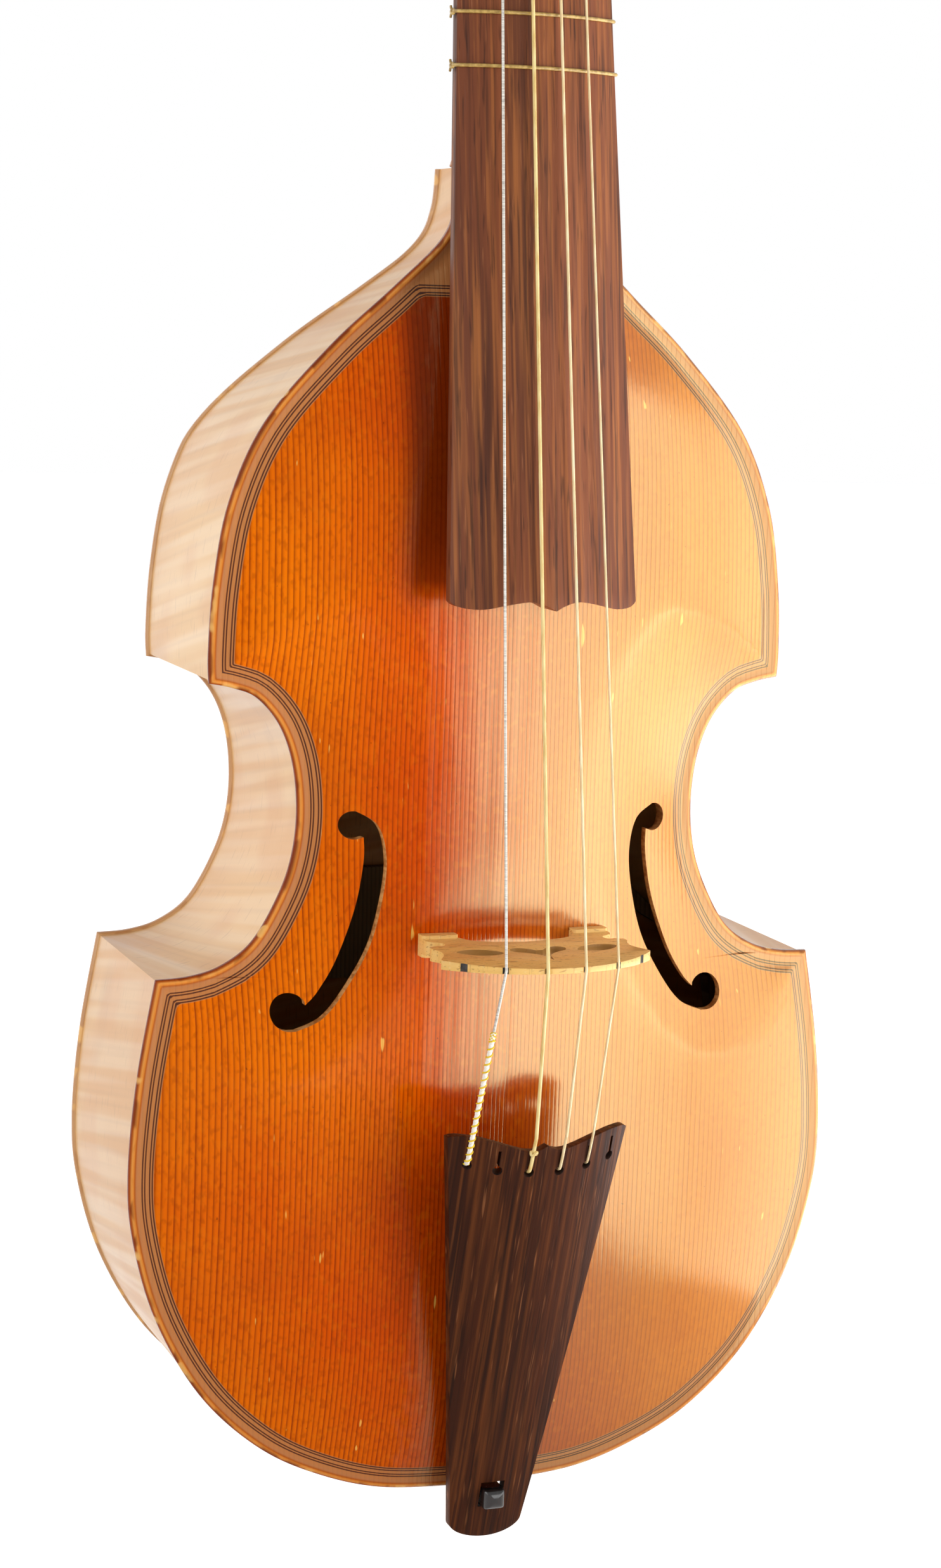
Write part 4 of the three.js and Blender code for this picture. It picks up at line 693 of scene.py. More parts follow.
# %% Each maple piece's finish
GOLDEN_CLOUDS = [((36, 36, 30), 0.48, 0.64, 0.4, "#d08c40")]
BRIDGE_FLECKS = [((3.2, 0.7, 0.7), 0.62, 0.7, 0.6, "#94622c"), ((1.4, 0.7, 0.7), 0.64, 0.72, 0.5, "#f0cc8c")]
RIB_COAT = {"Specular IOR Level": 0.3, "Coat Weight": 0.4, "Coat Roughness": 0.28}
NECK_COAT = {"Specular IOR Level": 0.25, "Coat Weight": 0.4, "Coat Roughness": 0.2}
rib_maple = maple("rib_maple", RIB_COAT, ("#d49a56", "#e2b06c", "#f0d29c", "#a87440"), 5, 0.26, bent=True,
                  flecks=GOLDEN_CLOUDS)
back_maple = maple("back_maple", NECK_COAT, ("#b46824", "#c67c38", "#dca462", "#80461c"), 6.5, 0.5,
                   inlaid=True)
neck_maple = maple("neck_maple", NECK_COAT, ("#b9783c", "#c8894a", "#dfa96e", "#7c4a22"), 7, 0.5)
bridge_maple = maple("bridge_maple", {"Specular IOR Level": 0.2},
                     ("#e6b25e", "#f0c678", "#f6da9c", "#8a5624"), 3, 0.2, flecks=BRIDGE_FLECKS)
# A darker maple for the walls of the bridge's openings: painted shade in the openings.
opening_shade_maple = maple("opening_shade_maple", {"Specular IOR Level": 0.1},
                   ("#946832", "#a47840", "#b48850", "#6e4820"), 3, 0.2, flecks=BRIDGE_FLECKS[:1])
maples = (rib_maple, back_maple, neck_maple, bridge_maple, opening_shade_maple)
print("maple finishes:", [wood.name for wood in maples])

# %% [markdown]
# ## Rosewood and ebony
#
# Fingerboard, tailpiece and pegs are rosewood, planed and oiled, not varnished. Black and orange-brown
# streaks, half a millimetre to a few wide, run along each piece and fade after some centimetres, with short
# open pores between them. Noise with octaves would break such streaks into blotches, so each layer is one
# plain, long noise, turned to the piece's slope. The real pores are finer than the picture can show, so they
# are drawn 0.7 mm wide. The nut and the hook bar are ebony: nearly black, polished until it shines.

# %% Rosewood and ebony
def rosewood(name, sockets, tones, turn):
    """Rosewood in four tones: black, two of ground, and orange-brown."""
    material, tree, shader, place = start_finish(name, sockets, turn)
    base = two_tones(tree, place, (16, 30, 300), tones[1], tones[2], 1.0)
    colour = lay_over(tree, place, base, [
        ((5.0, 14, 160), 0.5, 0.7, 0.45, tones[0]),
        ((1.8, 5, 90), 0.5, 0.72, 0.45, tones[3]),
        ((1.5, 5, 80), 0.54, 0.74, 0.5, tones[0]),
        ((1.0, 3, 50), 0.5, 0.74, 0.45, tones[3]),
        ((0.9, 3, 36), 0.54, 0.74, 0.6, tones[0]),
        ((0.7, 2, 12), 0.6, 0.76, 0.5, "#160b07"),
        ((0.7, 2, 14), 0.64, 0.8, 0.3, "#b8764a")])
    feed(tree, shader, {"Base Color": colour,
                        "Normal": relief(tree, (marks(tree, place, (0.7, 2, 10), 0.6, 0.72), -0.03)),
                        "Roughness": marks(tree, place, (1.1, 1.1, 70), 0.3, 0.7, 0.56, base=0.42)})
    return material


def polished(name, sockets, tones, size, depth, roughness):
    """A close-grained or fine surface of two near tones, a little uneven in gloss and height."""
    material, tree, shader, place = start_finish(name, sockets)
    fine = marks(tree, place, size, detail=3)
    rough = node(tree, "MapRange", {"Value": fine, "From Min": 0.2, "From Max": 0.8,
                                    "To Min": roughness - 0.07, "To Max": roughness + 0.07})
    feed(tree, shader, {"Base Color": two_tones(tree, place, size, *tones),
                        "Normal": relief(tree, (fine, depth)), "Roughness": rough})
    return material


# %% Each dark piece's finish
DRY, OILED = {"Specular IOR Level": 0.08}, {"Specular IOR Level": 0.2}
WAXED = {"Specular IOR Level": 0.3, "Coat Weight": 0.5, "Coat Roughness": 0.2}
BOARD_TURN, TAIL_TURN = (math.radians(7.4), 0, 0), (math.radians(-17), 0, 0)
PEG_TURN = (0, math.radians(90), 0)
board_wood = rosewood("board_rosewood", OILED, ("#30180f", "#6a3821", "#82482a", "#ac6835"), BOARD_TURN)
tail_wood = rosewood("tail_rosewood", DRY, ("#160a06", "#32170b", "#442110", "#74401e"), TAIL_TURN)
peg_wood = rosewood("peg_rosewood", WAXED, ("#1a0d08", "#3a1c12", "#54291a", "#6e3d25"), PEG_TURN)
# A darker wood for the walls of the tailpiece's holes: painted shade in the holes.
hole_shade_wood = polished("hole_shade_wood", OILED, ("#140a06", "#2c170e"), (1.1, 1.1, 1.1), 0.01, 0.55)
ebony = polished("ebony", WAXED, ("#0c0a0a", "#1b1716"), (1.6, 1.6, 16), 0.006, 0.22)
cut_spruce = polished("cut_spruce", OILED, ("#a8642c", "#dca060"), (3, 3, 1), 0.02, 0.6)
graphite = polished("graphite", OILED, ("#2a2624", "#4e4640"), (1.1, 1.1, 1.1), 0.01, 0.5)
print("dark finishes:", [wood.name for wood in (board_wood, tail_wood, peg_wood, hole_shade_wood, ebony)])

# %% [markdown]
# ## Gut, silver and silk
#
# Strings and frets are gut, twisted wet and rubbed smooth: clear yellow, a little glossy, gold where it is
# thick. The bass string has silver wire wound over it, too fine to show, so the rings are drawn 0.2 mm
# apart. At its lower end it is lapped with silk, which is matt and fibrous.

# %% Strings' finishes
GUT = {"Specular IOR Level": 0.4, "Coat Weight": 0.4, "Coat Roughness": 0.2}
gut_gold = polished("gut_gold", GUT, ("#d0ae60", "#e8cf8c"), (1.1, 1.1, 16), 0.004, 0.3)
gut_pale = polished("gut_pale", GUT, ("#dcbd86", "#eedaac"), (1.1, 1.1, 16), 0.004, 0.3)
gut_fret = polished("gut_fret", GUT, ("#9c7a38", "#c9a659"), (1.4, 1.4, 1.4), 0.004, 0.4)
wound_silver = polished("wound_silver", {"Metallic": 0.6}, ("#98948c", "#ccc8be"), (3.3, 3.3, 0.2),
                        0.01, 0.36)
silk_white = polished("silk_white", {}, ("#e6dfce", "#faf6ec"), (0.4, 0.4, 0.4), 0.04, 0.6)
silk_yellow = polished("silk_yellow", {}, ("#dcae00", "#f4d41c"), (0.4, 0.4, 0.4), 0.04, 0.6)
print("materials:", len(bpy.data.materials))

# %% [markdown]
# ## The body's plan and arch
#
# The body is drawn as its maker would: a lower bout, a waist and an upper bout, each a smooth curve through
# a few points, meeting at sharp corners. The points are shares of the bouts' own widths and lengths. The
# belly is carved into an arch that rises from a shallow channel near the edge, lower towards both ends. The
# back is flat and bends in towards the neck.

# %% Plan
WAIST_HALF, LOWER_CORNER_HALF, UPPER_CORNER_HALF, UPPER_HALF = 60.2, 100, 86.2, 86.5
LOWER_CORNER_Y, WAIST_LENGTH, LOWER_LENGTH, UPPER_LENGTH = -9.8, 82.5, 156.7, 142.5
BODY_BOTTOM = LOWER_CORNER_Y - LOWER_LENGTH
UPPER_CORNER_Y = LOWER_CORNER_Y + WAIST_LENGTH
BODY_TOP = UPPER_CORNER_Y + UPPER_LENGTH
LOWER_SHARES = [(0, 0), (0.275, 0.013), (0.48, 0.057), (0.645, 0.122), (0.8, 0.228), (0.92, 0.373),
                (0.985, 0.525), (1, 0.65), (0.98, 0.82)]
LOWER_WAIST_SHARES = [(1, 0), (0.76, 0.007), (0.53, 0.039), (0.307, 0.119), (0.123, 0.273), (0.03, 0.41),
                      (0, 0.565)]
UPPER_WAIST_SHARES = [(0.058, 0.727), (0.215, 0.857), (0.473, 0.95), (0.74, 0.984), (1, 1)]
UPPER_SHARES = [(1, 0.06), (0.987, 0.194), (0.941, 0.35), (0.829, 0.503), (0.616, 0.653), (0.417, 0.764),
                (0.259, 0.858), (0.214, 0.925), (0.208, 1)]
FINE = 8

lower_corner, upper_corner = (LOWER_CORNER_HALF, LOWER_CORNER_Y), (UPPER_CORNER_HALF, UPPER_CORNER_Y)
waist_start = (WAIST_HALF, LOWER_CORNER_Y)
lower_bout = smooth_line([*in_frame(LOWER_SHARES, (0, BODY_BOTTOM), (LOWER_HALF, LOWER_CORNER_Y)),
                          lower_corner], FINE)
waist = smooth_line([*in_frame(LOWER_WAIST_SHARES, waist_start, (LOWER_CORNER_HALF, UPPER_CORNER_Y)),
                     *in_frame(UPPER_WAIST_SHARES, waist_start, upper_corner)], FINE)
upper_bout = smooth_line([upper_corner, *in_frame(UPPER_SHARES, (0, UPPER_CORNER_Y),
                                                  (UPPER_HALF, BODY_TOP))], FINE)
outline = np.vstack([lower_bout, waist[1:-1], upper_bout])
half_width = reading(outline[:, ::-1])
print("body length:", round(BODY_TOP - BODY_BOTTOM, 1), "mm, outline points:", len(outline))


def edge_distance(x, y):
    """Distance to the nearest edge of the plan, for arrays of places."""
    start, run = outline[:-1], np.diff(outline, axis=0)
    p = np.stack([np.abs(np.ravel(x)), np.ravel(y)], -1)
    out = []
    for part in np.array_split(p, max(1, len(p) // 4000)):
        away = part[:, None] - start
        share = np.clip((away * run).sum(-1) / (run**2).sum(1), 0, 1)
        out.append(np.linalg.norm(away - share[..., None] * run, axis=-1).min(1))
    return np.concatenate(out).reshape(np.shape(x))


# %% Arch and back
BODY_DEPTH, BELLY_EDGE, BELLY_THICKNESS, BACK_THICKNESS = 72, 3.6, 2.8, 3.0
ARCH_RISE, ARCH_RUN, ARCH_END_FALL, ARCH_SIDE_FALL, ARCH_START = 12.5, 40, 0.45, 0.35, 0.04
CHANNEL_PLACE, CHANNEL_HALF, CHANNEL_DEPTH = 3.5, 1.6, 0.25
HOLLOW_START, HOLLOW_RUN = 8, 6
BEND_SHARES = [(0, 0), (0.07, 0.035), (0.25, 0.25), (0.48, 0.585), (0.65, 0.85), (0.75, 0.94), (1, 1)]
BEND_START, NECK_END_DEPTH = 134, 21

bend_line = smooth_line(in_frame(BEND_SHARES, (BEND_START, 0), (BODY_TOP, BODY_DEPTH - NECK_END_DEPTH)), 10)
back_face = reading(bend_line)


def arch(x, y, distance):
    share = np.clip((distance - CHANNEL_PLACE) / ARCH_RUN, 0, 1)
    eased = share**2 / (share + ARCH_START)
    middle = (BODY_TOP + BODY_BOTTOM) / 2
    along = (y - middle) / (BODY_TOP - middle)
    fall = (1 - ARCH_END_FALL * along**2) * (1 - ARCH_SIDE_FALL * (x / LOWER_HALF) ** 2)
    return ARCH_RISE * fall * np.minimum(eased * (2 - eased), 1)


def belly_top(x, y, distance):
    channel = CHANNEL_DEPTH * np.exp(-(((distance - CHANNEL_PLACE) / CHANNEL_HALF) ** 2))
    return BODY_DEPTH + arch(x, y, distance) - channel


def belly_under(x, y, distance):
    """Flat where the belly is glued on, and hollow inside."""
    glued = BODY_DEPTH - BELLY_EDGE
    hollow = BODY_DEPTH + arch(x, y, distance) - BELLY_THICKNESS
    share = np.clip((distance - HOLLOW_START) / HOLLOW_RUN, 0, 1)
    return between(glued, np.maximum(hollow, glued), share)


print("arch over the bridge's place:", round(float(arch(0, 0, LOWER_HALF)), 1), "mm")


# %% [markdown]
# ## Belly and back
#
# Both plates are glued over the ribs, with rounded edges. Their rows follow the outline, one row for each of
# its points, and their columns crowd near the edge, where the rounding and the inlay need them. A subdivided
# cube could be pushed into this shape, but its corners would never land on the viol's. Each plate stores its
# edge distance for the inlay, which on the belly crosses under the fingerboard in a straight line.

# %% Plates
EDGE_STEPS = [0, 0.12, 0.35, 0.75, 1.3, 2.0, 2.8, 3.6, 4.6, 5.6, 6.6, 8, 10.5, 13.5, 17]
INNER_COLUMNS, NARROW, LEAST_HALF = 10, 60, 0.8
BELLY_ROUNDING, BACK_ROUNDING, PLATE_SHARP = 1.5, 1.2, 32
INLAY_END, INLAY_ROOM = 182.7, 0.4


def plate_columns(half):
    """Places across a plate from side to side, crowded towards its edges."""
    edge = half - np.array(EDGE_STEPS) * min(1, half / NARROW)
    right = np.concatenate([edge, np.linspace(edge[-1], 0, INNER_COLUMNS + 1)[1:]])
    return np.concatenate([-right, right[::-1][1:]])


def body_plate(name, top_of, under_of, radius, material, rows):
    """A plate of the body. Its rounded edge drops from both faces, as far as a circle does."""
    x = np.array([plate_columns(max(float(half_width(y)), LEAST_HALF)) for y in rows])
    y = np.repeat(np.array(rows)[:, None], x.shape[1], 1)
    distance = edge_distance(x, y)
    drop = radius - np.sqrt(radius**2 - np.clip(radius - distance, 0, radius) ** 2)
    faces = (spots(x, y, top_of(x, y, distance) - drop), spots(x, y, under_of(x, y, distance) + drop))
    return build(name, plate(*faces), material, sharp=PLATE_SHARP)


def belly_inlay_distance(x, y):
    """The distance to the edge, but past its end the inlay runs straight across."""
    distance = edge_distance(x, y)
    least = PURFLING_LINES[0] - INLAY_ROOM
    across = np.clip(PURFLING_LINES[0] + INLAY_END - y, least, distance)
    return np.where(distance > least, across, distance)


# %% Sound holes
HOLE_START, HOLE_END = (45.6, -19), (63.7, 33.2)
HOLE_LOW_EYE, HOLE_HIGH_EYE = 5.3, 4.0
HOLE_INNER = [(-0.03, 1.077), (-0.36, 1), (-0.486, 0.822), (-0.425, 0.603), (-0.232, 0.352), (0.138, 0.119),
              (0.497, -0.034), (0.906, -0.1)]
HOLE_OUTER = [(0.751, 0.038), (0.558, 0.111), (0.27, 0.282), (-0.022, 0.559), (-0.149, 0.803),
              (-0.149, 0.937)]


def eye_arc(centre, radius, before, after):
    """Points round a hole's round end, from where one stroke stops to where the other starts."""
    start, end = (math.atan2(point[1] - centre[1], point[0] - centre[0]) for point in (before, after))
    turned = (end - start) % (2 * math.pi)
    angles = start + turned * np.linspace(0, 1, 26)[1:-1]
    return [(centre[0] + radius * math.cos(a), centre[1] + radius * math.sin(a)) for a in angles]


def hole_outline(side):
    """A C-shaped sound hole: two smooth strokes between two round ends."""
    inner, outer = (list(smooth_line(in_frame(shares, HOLE_START, HOLE_END), FINE))
                    for shares in (HOLE_INNER, HOLE_OUTER))
    low_eye, high_eye = (HOLE_END[0], HOLE_START[1]), (HOLE_START[0], HOLE_END[1])
    loop = inner + eye_arc(low_eye, HOLE_LOW_EYE, inner[-1], outer[0])
    loop += outer + eye_arc(high_eye, HOLE_HIGH_EYE, outer[-1], inner[0])
    return [(side * x, y) for x, y in loop]


print("points round a sound hole:", len(hole_outline(1)))


# %% Belly
HOOK_HALF, HOOK_LOW, HOOK_HIGH, HOOK_ROOM = 3.3, BODY_BOTTOM - 2.5, BODY_BOTTOM + 3.7, 0.15
THROUGH_BELLY, THROUGH_EDGE, INLAY_STEP, CORNER_REACH, CORNER_STEP = (60, 95), (64, 80), 0.5, 11.7, 0.6

inlay_rows = np.arange(INLAY_END - 4.2, INLAY_END + 2, INLAY_STEP)
corner_rows = [y + step for y in (LOWER_CORNER_Y, UPPER_CORNER_Y)
               for step in np.arange(-CORNER_REACH, 12, CORNER_STEP)]
belly = body_plate("belly_plate", belly_top, belly_under, BELLY_ROUNDING, varnish,
                   sorted([*outline[1:, 1], *corner_rows, *inlay_rows]))
notch_half = HOOK_HALF + HOOK_ROOM
cut(belly, prism("treble_hole", hole_outline(1), THROUGH_BELLY, cut_spruce),
    prism("bass_hole", hole_outline(-1), THROUGH_BELLY, cut_spruce),
    block("notch", (-notch_half, notch_half), (HOOK_LOW - 1, HOOK_HIGH + HOOK_ROOM), THROUGH_EDGE,
          cut_spruce))
store(belly, "edge_distance", belly_inlay_distance)
shade(belly, PLATE_SHARP)
fit(belly, "belly")
print("belly faces:", FACES["belly_plate"])

# %% Back
back = body_plate("back_plate", lambda x, y, d: back_face(y) + BACK_THICKNESS, lambda x, y, d: back_face(y),
                  BACK_ROUNDING, back_maple, sorted([*outline[1:, 1], *corner_rows, *bend_line[1:-1, 0]]))
store(back, "edge_distance", edge_distance)
shade(back, PLATE_SHARP)
fit(back, "back")
print("back faces:", FACES["back_plate"])

# %% [markdown]
# ## Ribs
#
# Six thin strips, bent over a hot iron, close the body's sides, set in a little from the plates' edges. Each
# follows the outline at that distance, and its ends meet the next rib's in the corner. The top of each rib
# is straight, under the belly, and its foot follows the back where that bends. A solidified ribbon would do,
# but then its thickness would not follow the corners.

# %% Ribs
OVERHANG, RIB_THICKNESS, RIB_POINTS, RIB_ROWS = 0.8, 1.6, 90, 6
BOUTS = [("lower", lower_bout), ("waist", waist), ("upper", upper_bout)]


def set_in(line, depth):
    along = np.gradient(line, axis=0)
    along /= np.linalg.norm(along, axis=1, keepdims=True)
    return line - depth * np.stack([along[:, 1], -along[:, 0]], -1)


def corner(index, depth):
    """Where a bout meets the next one, both set in."""
    (a, b), (c, d) = set_in(BOUTS[index][1], depth)[-2:], set_in(BOUTS[index + 1][1], depth)[:2]
    r, s = b - a, d - c
    return a + r * ((c - a)[0] * s[1] - (c - a)[1] * s[0]) / (r[0] * s[1] - r[1] * s[0])


def rib_line(index, depth):
    """A bout's line, set in and trimmed at its corners, with points at even distances."""
    line = set_in(BOUTS[index][1], depth)
    if index < 2:
        line = np.vstack([line[:-3], corner(index, depth)])
    if index > 0:
        line = np.vstack([corner(index - 1, depth), line[3:]])
    else:
        line = line[line[:, 0] > HOOK_HALF + 0.2]
    return even_points(line, RIB_POINTS)


def rib(index, side):
    faces = []
    for depth in (OVERHANG, OVERHANG + RIB_THICKNESS):
        line, run = rib_line(index, depth)
        foot = back_face(line[:, 1]) + BACK_THICKNESS
        heights = between(foot[:, None], BODY_DEPTH - BELLY_EDGE, np.linspace(0, 1, RIB_ROWS))
        faces.append(spots(side * line[:, :1], line[:, 1:], heights))
    bout, word = BOUTS[index][0], "treble" if side > 0 else "bass"
    made = build(f"{bout}_{word}_rib", plate(*faces), rib_maple)
    line, run = rib_line(index, OVERHANG)

    def along_rib(x, y):
        away = np.stack([side * x, y], -1)[:, None] - line
        return run[np.linalg.norm(away, axis=-1).argmin(1)] * MM

    store(made, "along", along_rib)
    fit(made, f"{bout}_rib_{word}")


for index in range(3):
    rib(index, 1)
    rib(index, -1)
print("ribs:", [name for name in FACES if name.endswith("rib")])

# %% [markdown]
# ## Fingerboard and nut
#
# The fingerboard rises from the nut to its free end over the belly, and widens on the way. Its top is a part
# of a cylinder, and its end is cut to a double ogee with a point in the middle. It is a plate whose far ends
# are bent: each column starts at its own place along the ogee. The nut is a short bar of ebony with the same
# curve, a little higher, to carry the strings.

# %% Fingerboard's shape
NUT_Y, NUT_LENGTH, NUT_HEIGHT = 362, 5, 2.3
BOARD_END, BOARD_END_HALF, BOARD_NUT_HALF, BOARD_EDGE, BOARD_RADIUS = 98.8, 27.4, 19.6, 3.2, 45
BOARD_END_HEIGHT, BOARD_NUT_HEIGHT, BOARD_OGEE_DEPTH, BOARD_GAP = 28.2, -6, 2.7, 0.3
BOARD_OGEE = [(1, -0.3), (0.96, -0.62), (0.87, -0.92), (0.7, -0.95), (0.5, -0.5), (0.27, -0.1),
              (0.12, -0.4), (0, -1)]

board_edge = along_body(BOARD_END, NUT_Y, BODY_DEPTH + BOARD_END_HEIGHT, BODY_DEPTH + BOARD_NUT_HEIGHT)
board_half = along_body(BOARD_END, NUT_Y, BOARD_END_HALF, BOARD_NUT_HALF)
print("fingerboard's width:", 2 * BOARD_NUT_HALF, "to", 2 * BOARD_END_HALF, "mm")


def board_top(x, y):
    return board_edge(y) + np.sqrt(BOARD_RADIUS**2 - x**2) - np.sqrt(BOARD_RADIUS**2 - board_half(y) ** 2)


def board_under(x, y):
    return board_edge(y) - BOARD_EDGE


def neck_top(y):
    return board_edge(y) - BOARD_EDGE - BOARD_GAP


def ogee_line(shares):
    """A smooth end line from (share across, depth) of its right half, as a function of the share across."""
    depth = reading(smooth_line(shares, 6)[::-1])
    return lambda share: depth(np.abs(share))


def long_plate(low_end, high_end, half_of, top_of, under_of, columns=44, rows=60):
    """A plate along the body. Each end gives y for a share across; half, top and under follow from y."""
    across = np.sin(np.linspace(-math.pi / 2, math.pi / 2, columns + 1))[:, None]
    y = between(low_end(across), high_end(across), np.linspace(0, 1, rows + 1))
    x = across * half_of(y)
    return plate(spots(x, y, top_of(x, y)), spots(x, y, under_of(x, y)))


# %% Fingerboard and nut
board_ogee = ogee_line(BOARD_OGEE)
board = build("fingerboard_wood", long_plate(
    lambda u: BOARD_END + BOARD_OGEE_DEPTH * board_ogee(u), lambda u: NUT_Y - BOARD_GAP,
    board_half, board_top, board_under), board_wood)
soften(board, 0.35)
fit(board, "fingerboard")

nut = build("nut_bar", long_plate(
    lambda u: NUT_Y, lambda u: NUT_Y + NUT_LENGTH,
    lambda y: BOARD_NUT_HALF, lambda x, y: board_top(x, NUT_Y) + NUT_HEIGHT, board_under, rows=4), ebony)
soften(nut, 0.7, 3)
fit(nut, "nut")
print("fingerboard length:", round(NUT_Y - BOARD_END), "mm")

# %% [markdown]
# ## Neck, pegbox and scroll
#
# One piece of maple makes them all, so no joint may show between them. The parts are built roughly as bars,
# the scroll as a bar coiled twice round its eye, and a voxel remesh melts them into one skin, as the
# carver's rasp does. The peg box is hollowed after that, and a light smoothing takes the voxels' steps away.
# Subdivision could not bridge parts that cross like these.

# %% Neck's shape
NECK_ROOT, PEGBOX_Y, HEEL_LENGTH = BODY_TOP + 0.3, NUT_Y + NUT_LENGTH, 18
NECK_ROOT_DEPTH, NECK_NUT_DEPTH, NECK_ROOT_INSET, NECK_NUT_INSET = 14, 12, 6, 1
NECK_ROUND, HEEL_SQUARE, HEEL_EASE = 2.3, 4, 2.5
print("neck starts at y:", round(NECK_ROOT, 1), "mm")


def neck_ring(y, spare=0.0, count=32):
    """The neck's section: flat on top, round below, square and deep at the heel."""
    share = np.clip((y - NECK_ROOT) / (PEGBOX_Y - NECK_ROOT), 0, 1)
    half = board_half(y) - between(NECK_ROOT_INSET, NECK_NUT_INSET, math.sqrt(share)) + spare
    heel = np.clip((NECK_ROOT + HEEL_LENGTH - y) / HEEL_LENGTH, 0, 1)
    drop = neck_top(NECK_ROOT) - back_face(BODY_TOP) - NECK_ROOT_DEPTH
    depth = between(NECK_ROOT_DEPTH, NECK_NUT_DEPTH, share) + drop * heel**HEEL_EASE + spare
    power = 2 / between(NECK_ROUND, HEEL_SQUARE, heel)
    angles = np.linspace(0, math.pi, count + 1)
    return spots(half * squared(np.cos(angles), power), y,
                 neck_top(y) - depth * np.abs(np.sin(angles)) ** power)


# %% Pegbox and scroll
TILT = math.radians(21)
PEGBOX_LENGTH, PEGBOX_HALF, PEGBOX_END_HALF, PEGBOX_BACK, CHEEK, FLOOR = 112, 19.4, 11.5, 20, 4.5, 4.5
PEG_FIRST, PEG_SPACING, PEG_V = 0.16 * PEGBOX_LENGTH, 0.134 * PEGBOX_LENGTH, -5
BACK_SHARES = [(-0.08, 0.5), (0, 0.66), (0.1, 0.9), (0.22, 1), (0.45, 0.96), (0.75, 0.8), (1, 0.63)]
HALF_SHARES = [(-0.08, 0.4), (-0.03, 0.75), (0.03, 1), (1, PEGBOX_END_HALF / PEGBOX_HALF)]
SCROLL_RADIUS, SCROLL_EYE_HALF, SCROLL_TURNS, SCROLL_SHRINK, SCROLL_STEPS = 13, 17, 2, 0.11, 32
SCROLL_AHEAD, SCROLL_START, SCROLL_HOLLOW, SCROLL_FLUTE = 6, math.radians(-105), 0.46, 0.97

pegbox_back = reading(smooth_line(np.array(BACK_SHARES) * (PEGBOX_LENGTH, -PEGBOX_BACK), 8))
pegbox_half = reading(np.array(HALF_SHARES) * (PEGBOX_LENGTH, PEGBOX_HALF))
print("pegbox length:", PEGBOX_LENGTH, "mm")


def in_pegbox(u, v, x):
    """A place in the pegbox's own frame: u along it, v towards its front."""
    u, v = np.asarray(u, float), np.asarray(v, float)
    return spots(x, PEGBOX_Y + u * math.cos(TILT) + v * math.sin(TILT),
                 neck_top(PEGBOX_Y) - u * math.sin(TILT) + v * math.cos(TILT))


def pegbox_block(start, end, front, floor=0, cheek=0):
    """A block as long as the pegbox, or its hollow, which leaves a floor and two cheeks."""
    rings = []
    for u in np.linspace(start, end, 60):
        half, low = pegbox_half(u) - cheek, pegbox_back(u) + floor
        rings.append(in_pegbox(u, [front, front, low, low], [-half, half, half, -half]))
    return rings


def scroll_rings():
    """The scroll's wrap, from the pegbox's end in to its eye, wider with each turn. Also its centre."""
    u0, v0 = PEGBOX_LENGTH + SCROLL_AHEAD, SCROLL_RADIUS + pegbox_back(PEGBOX_LENGTH)
    rings = []
    for i in range(SCROLL_STEPS * SCROLL_TURNS + 1):
        turned = 2 * math.pi * i / SCROLL_STEPS
        angle = SCROLL_START + turned
        outer = SCROLL_RADIUS * math.exp(-SCROLL_SHRINK * turned)
        half = between(PEGBOX_END_HALF, SCROLL_EYE_HALF, i / (SCROLL_STEPS * SCROLL_TURNS))
        radii = outer * np.array([1, SCROLL_FLUTE, 1, SCROLL_HOLLOW, SCROLL_HOLLOW])
        rings.append(in_pegbox(u0 + radii * math.cos(angle), v0 + radii * math.sin(angle),
                               [-half, 0, half, half, -half]))
    return rings, u0, v0


# %% Carve the neck
NECK_VOXEL, EYE_SHARE, LAPPED = 0.65, 0.9, 3
BOX_START, HOLLOW_FROM, HOLLOW_TO, HOLLOW_FRONT = -9, 6, PEGBOX_LENGTH - 8, 8
# Fingerboard and nut lie over the neck's top, so all the wood that the remesh left there goes.
ABOVE_NECK = ((-60, 60), (PEGBOX_Y - 20, PEGBOX_Y + 0.3), (neck_top(PEGBOX_Y) + 0.05, 140))


def rough_neck():
    heel_end = NECK_ROOT + HEEL_LENGTH
    ys = [*np.linspace(NECK_ROOT, heel_end, 16), *np.linspace(heel_end, PEGBOX_Y + LAPPED, 30)[1:]]
    bm = bar([neck_ring(y) for y in ys])
    bar(pegbox_block(BOX_START, PEGBOX_LENGTH + SCROLL_AHEAD, LAPPED), bm)
    rings, u0, v0 = scroll_rings()
    bar(rings, bm)
    eye = SCROLL_RADIUS * math.exp(-SCROLL_SHRINK * 2 * math.pi * (SCROLL_TURNS - 1)) * EYE_SHARE
    u, v = u0 + eye * np.cos(circle(32)), v0 + eye * np.sin(circle(32))
    bar([in_pegbox(u, v, x) for x in (-PEGBOX_END_HALF, PEGBOX_END_HALF)], bm)
    return build("neck_carved", bm, neck_maple)


def carve_neck():
    neck = rough_neck()
    add_modifier(neck, "REMESH", mode="VOXEL", voxel_size=NECK_VOXEL * MM)
    bake(neck)
    hollow = pegbox_block(HOLLOW_FROM, HOLLOW_TO, HOLLOW_FRONT, FLOOR, CHEEK)
    cut(neck, build("hollow", bar(hollow), neck_maple))
    add_modifier(neck, "SMOOTH", factor=0.5, iterations=4)
    bake(neck)
    cut(neck, block("nut_room", *ABOVE_NECK, neck_maple))
    shade(neck, 55)
    fit(neck, "neck")


carve_neck()
print("neck faces:", FACES["neck_carved"])
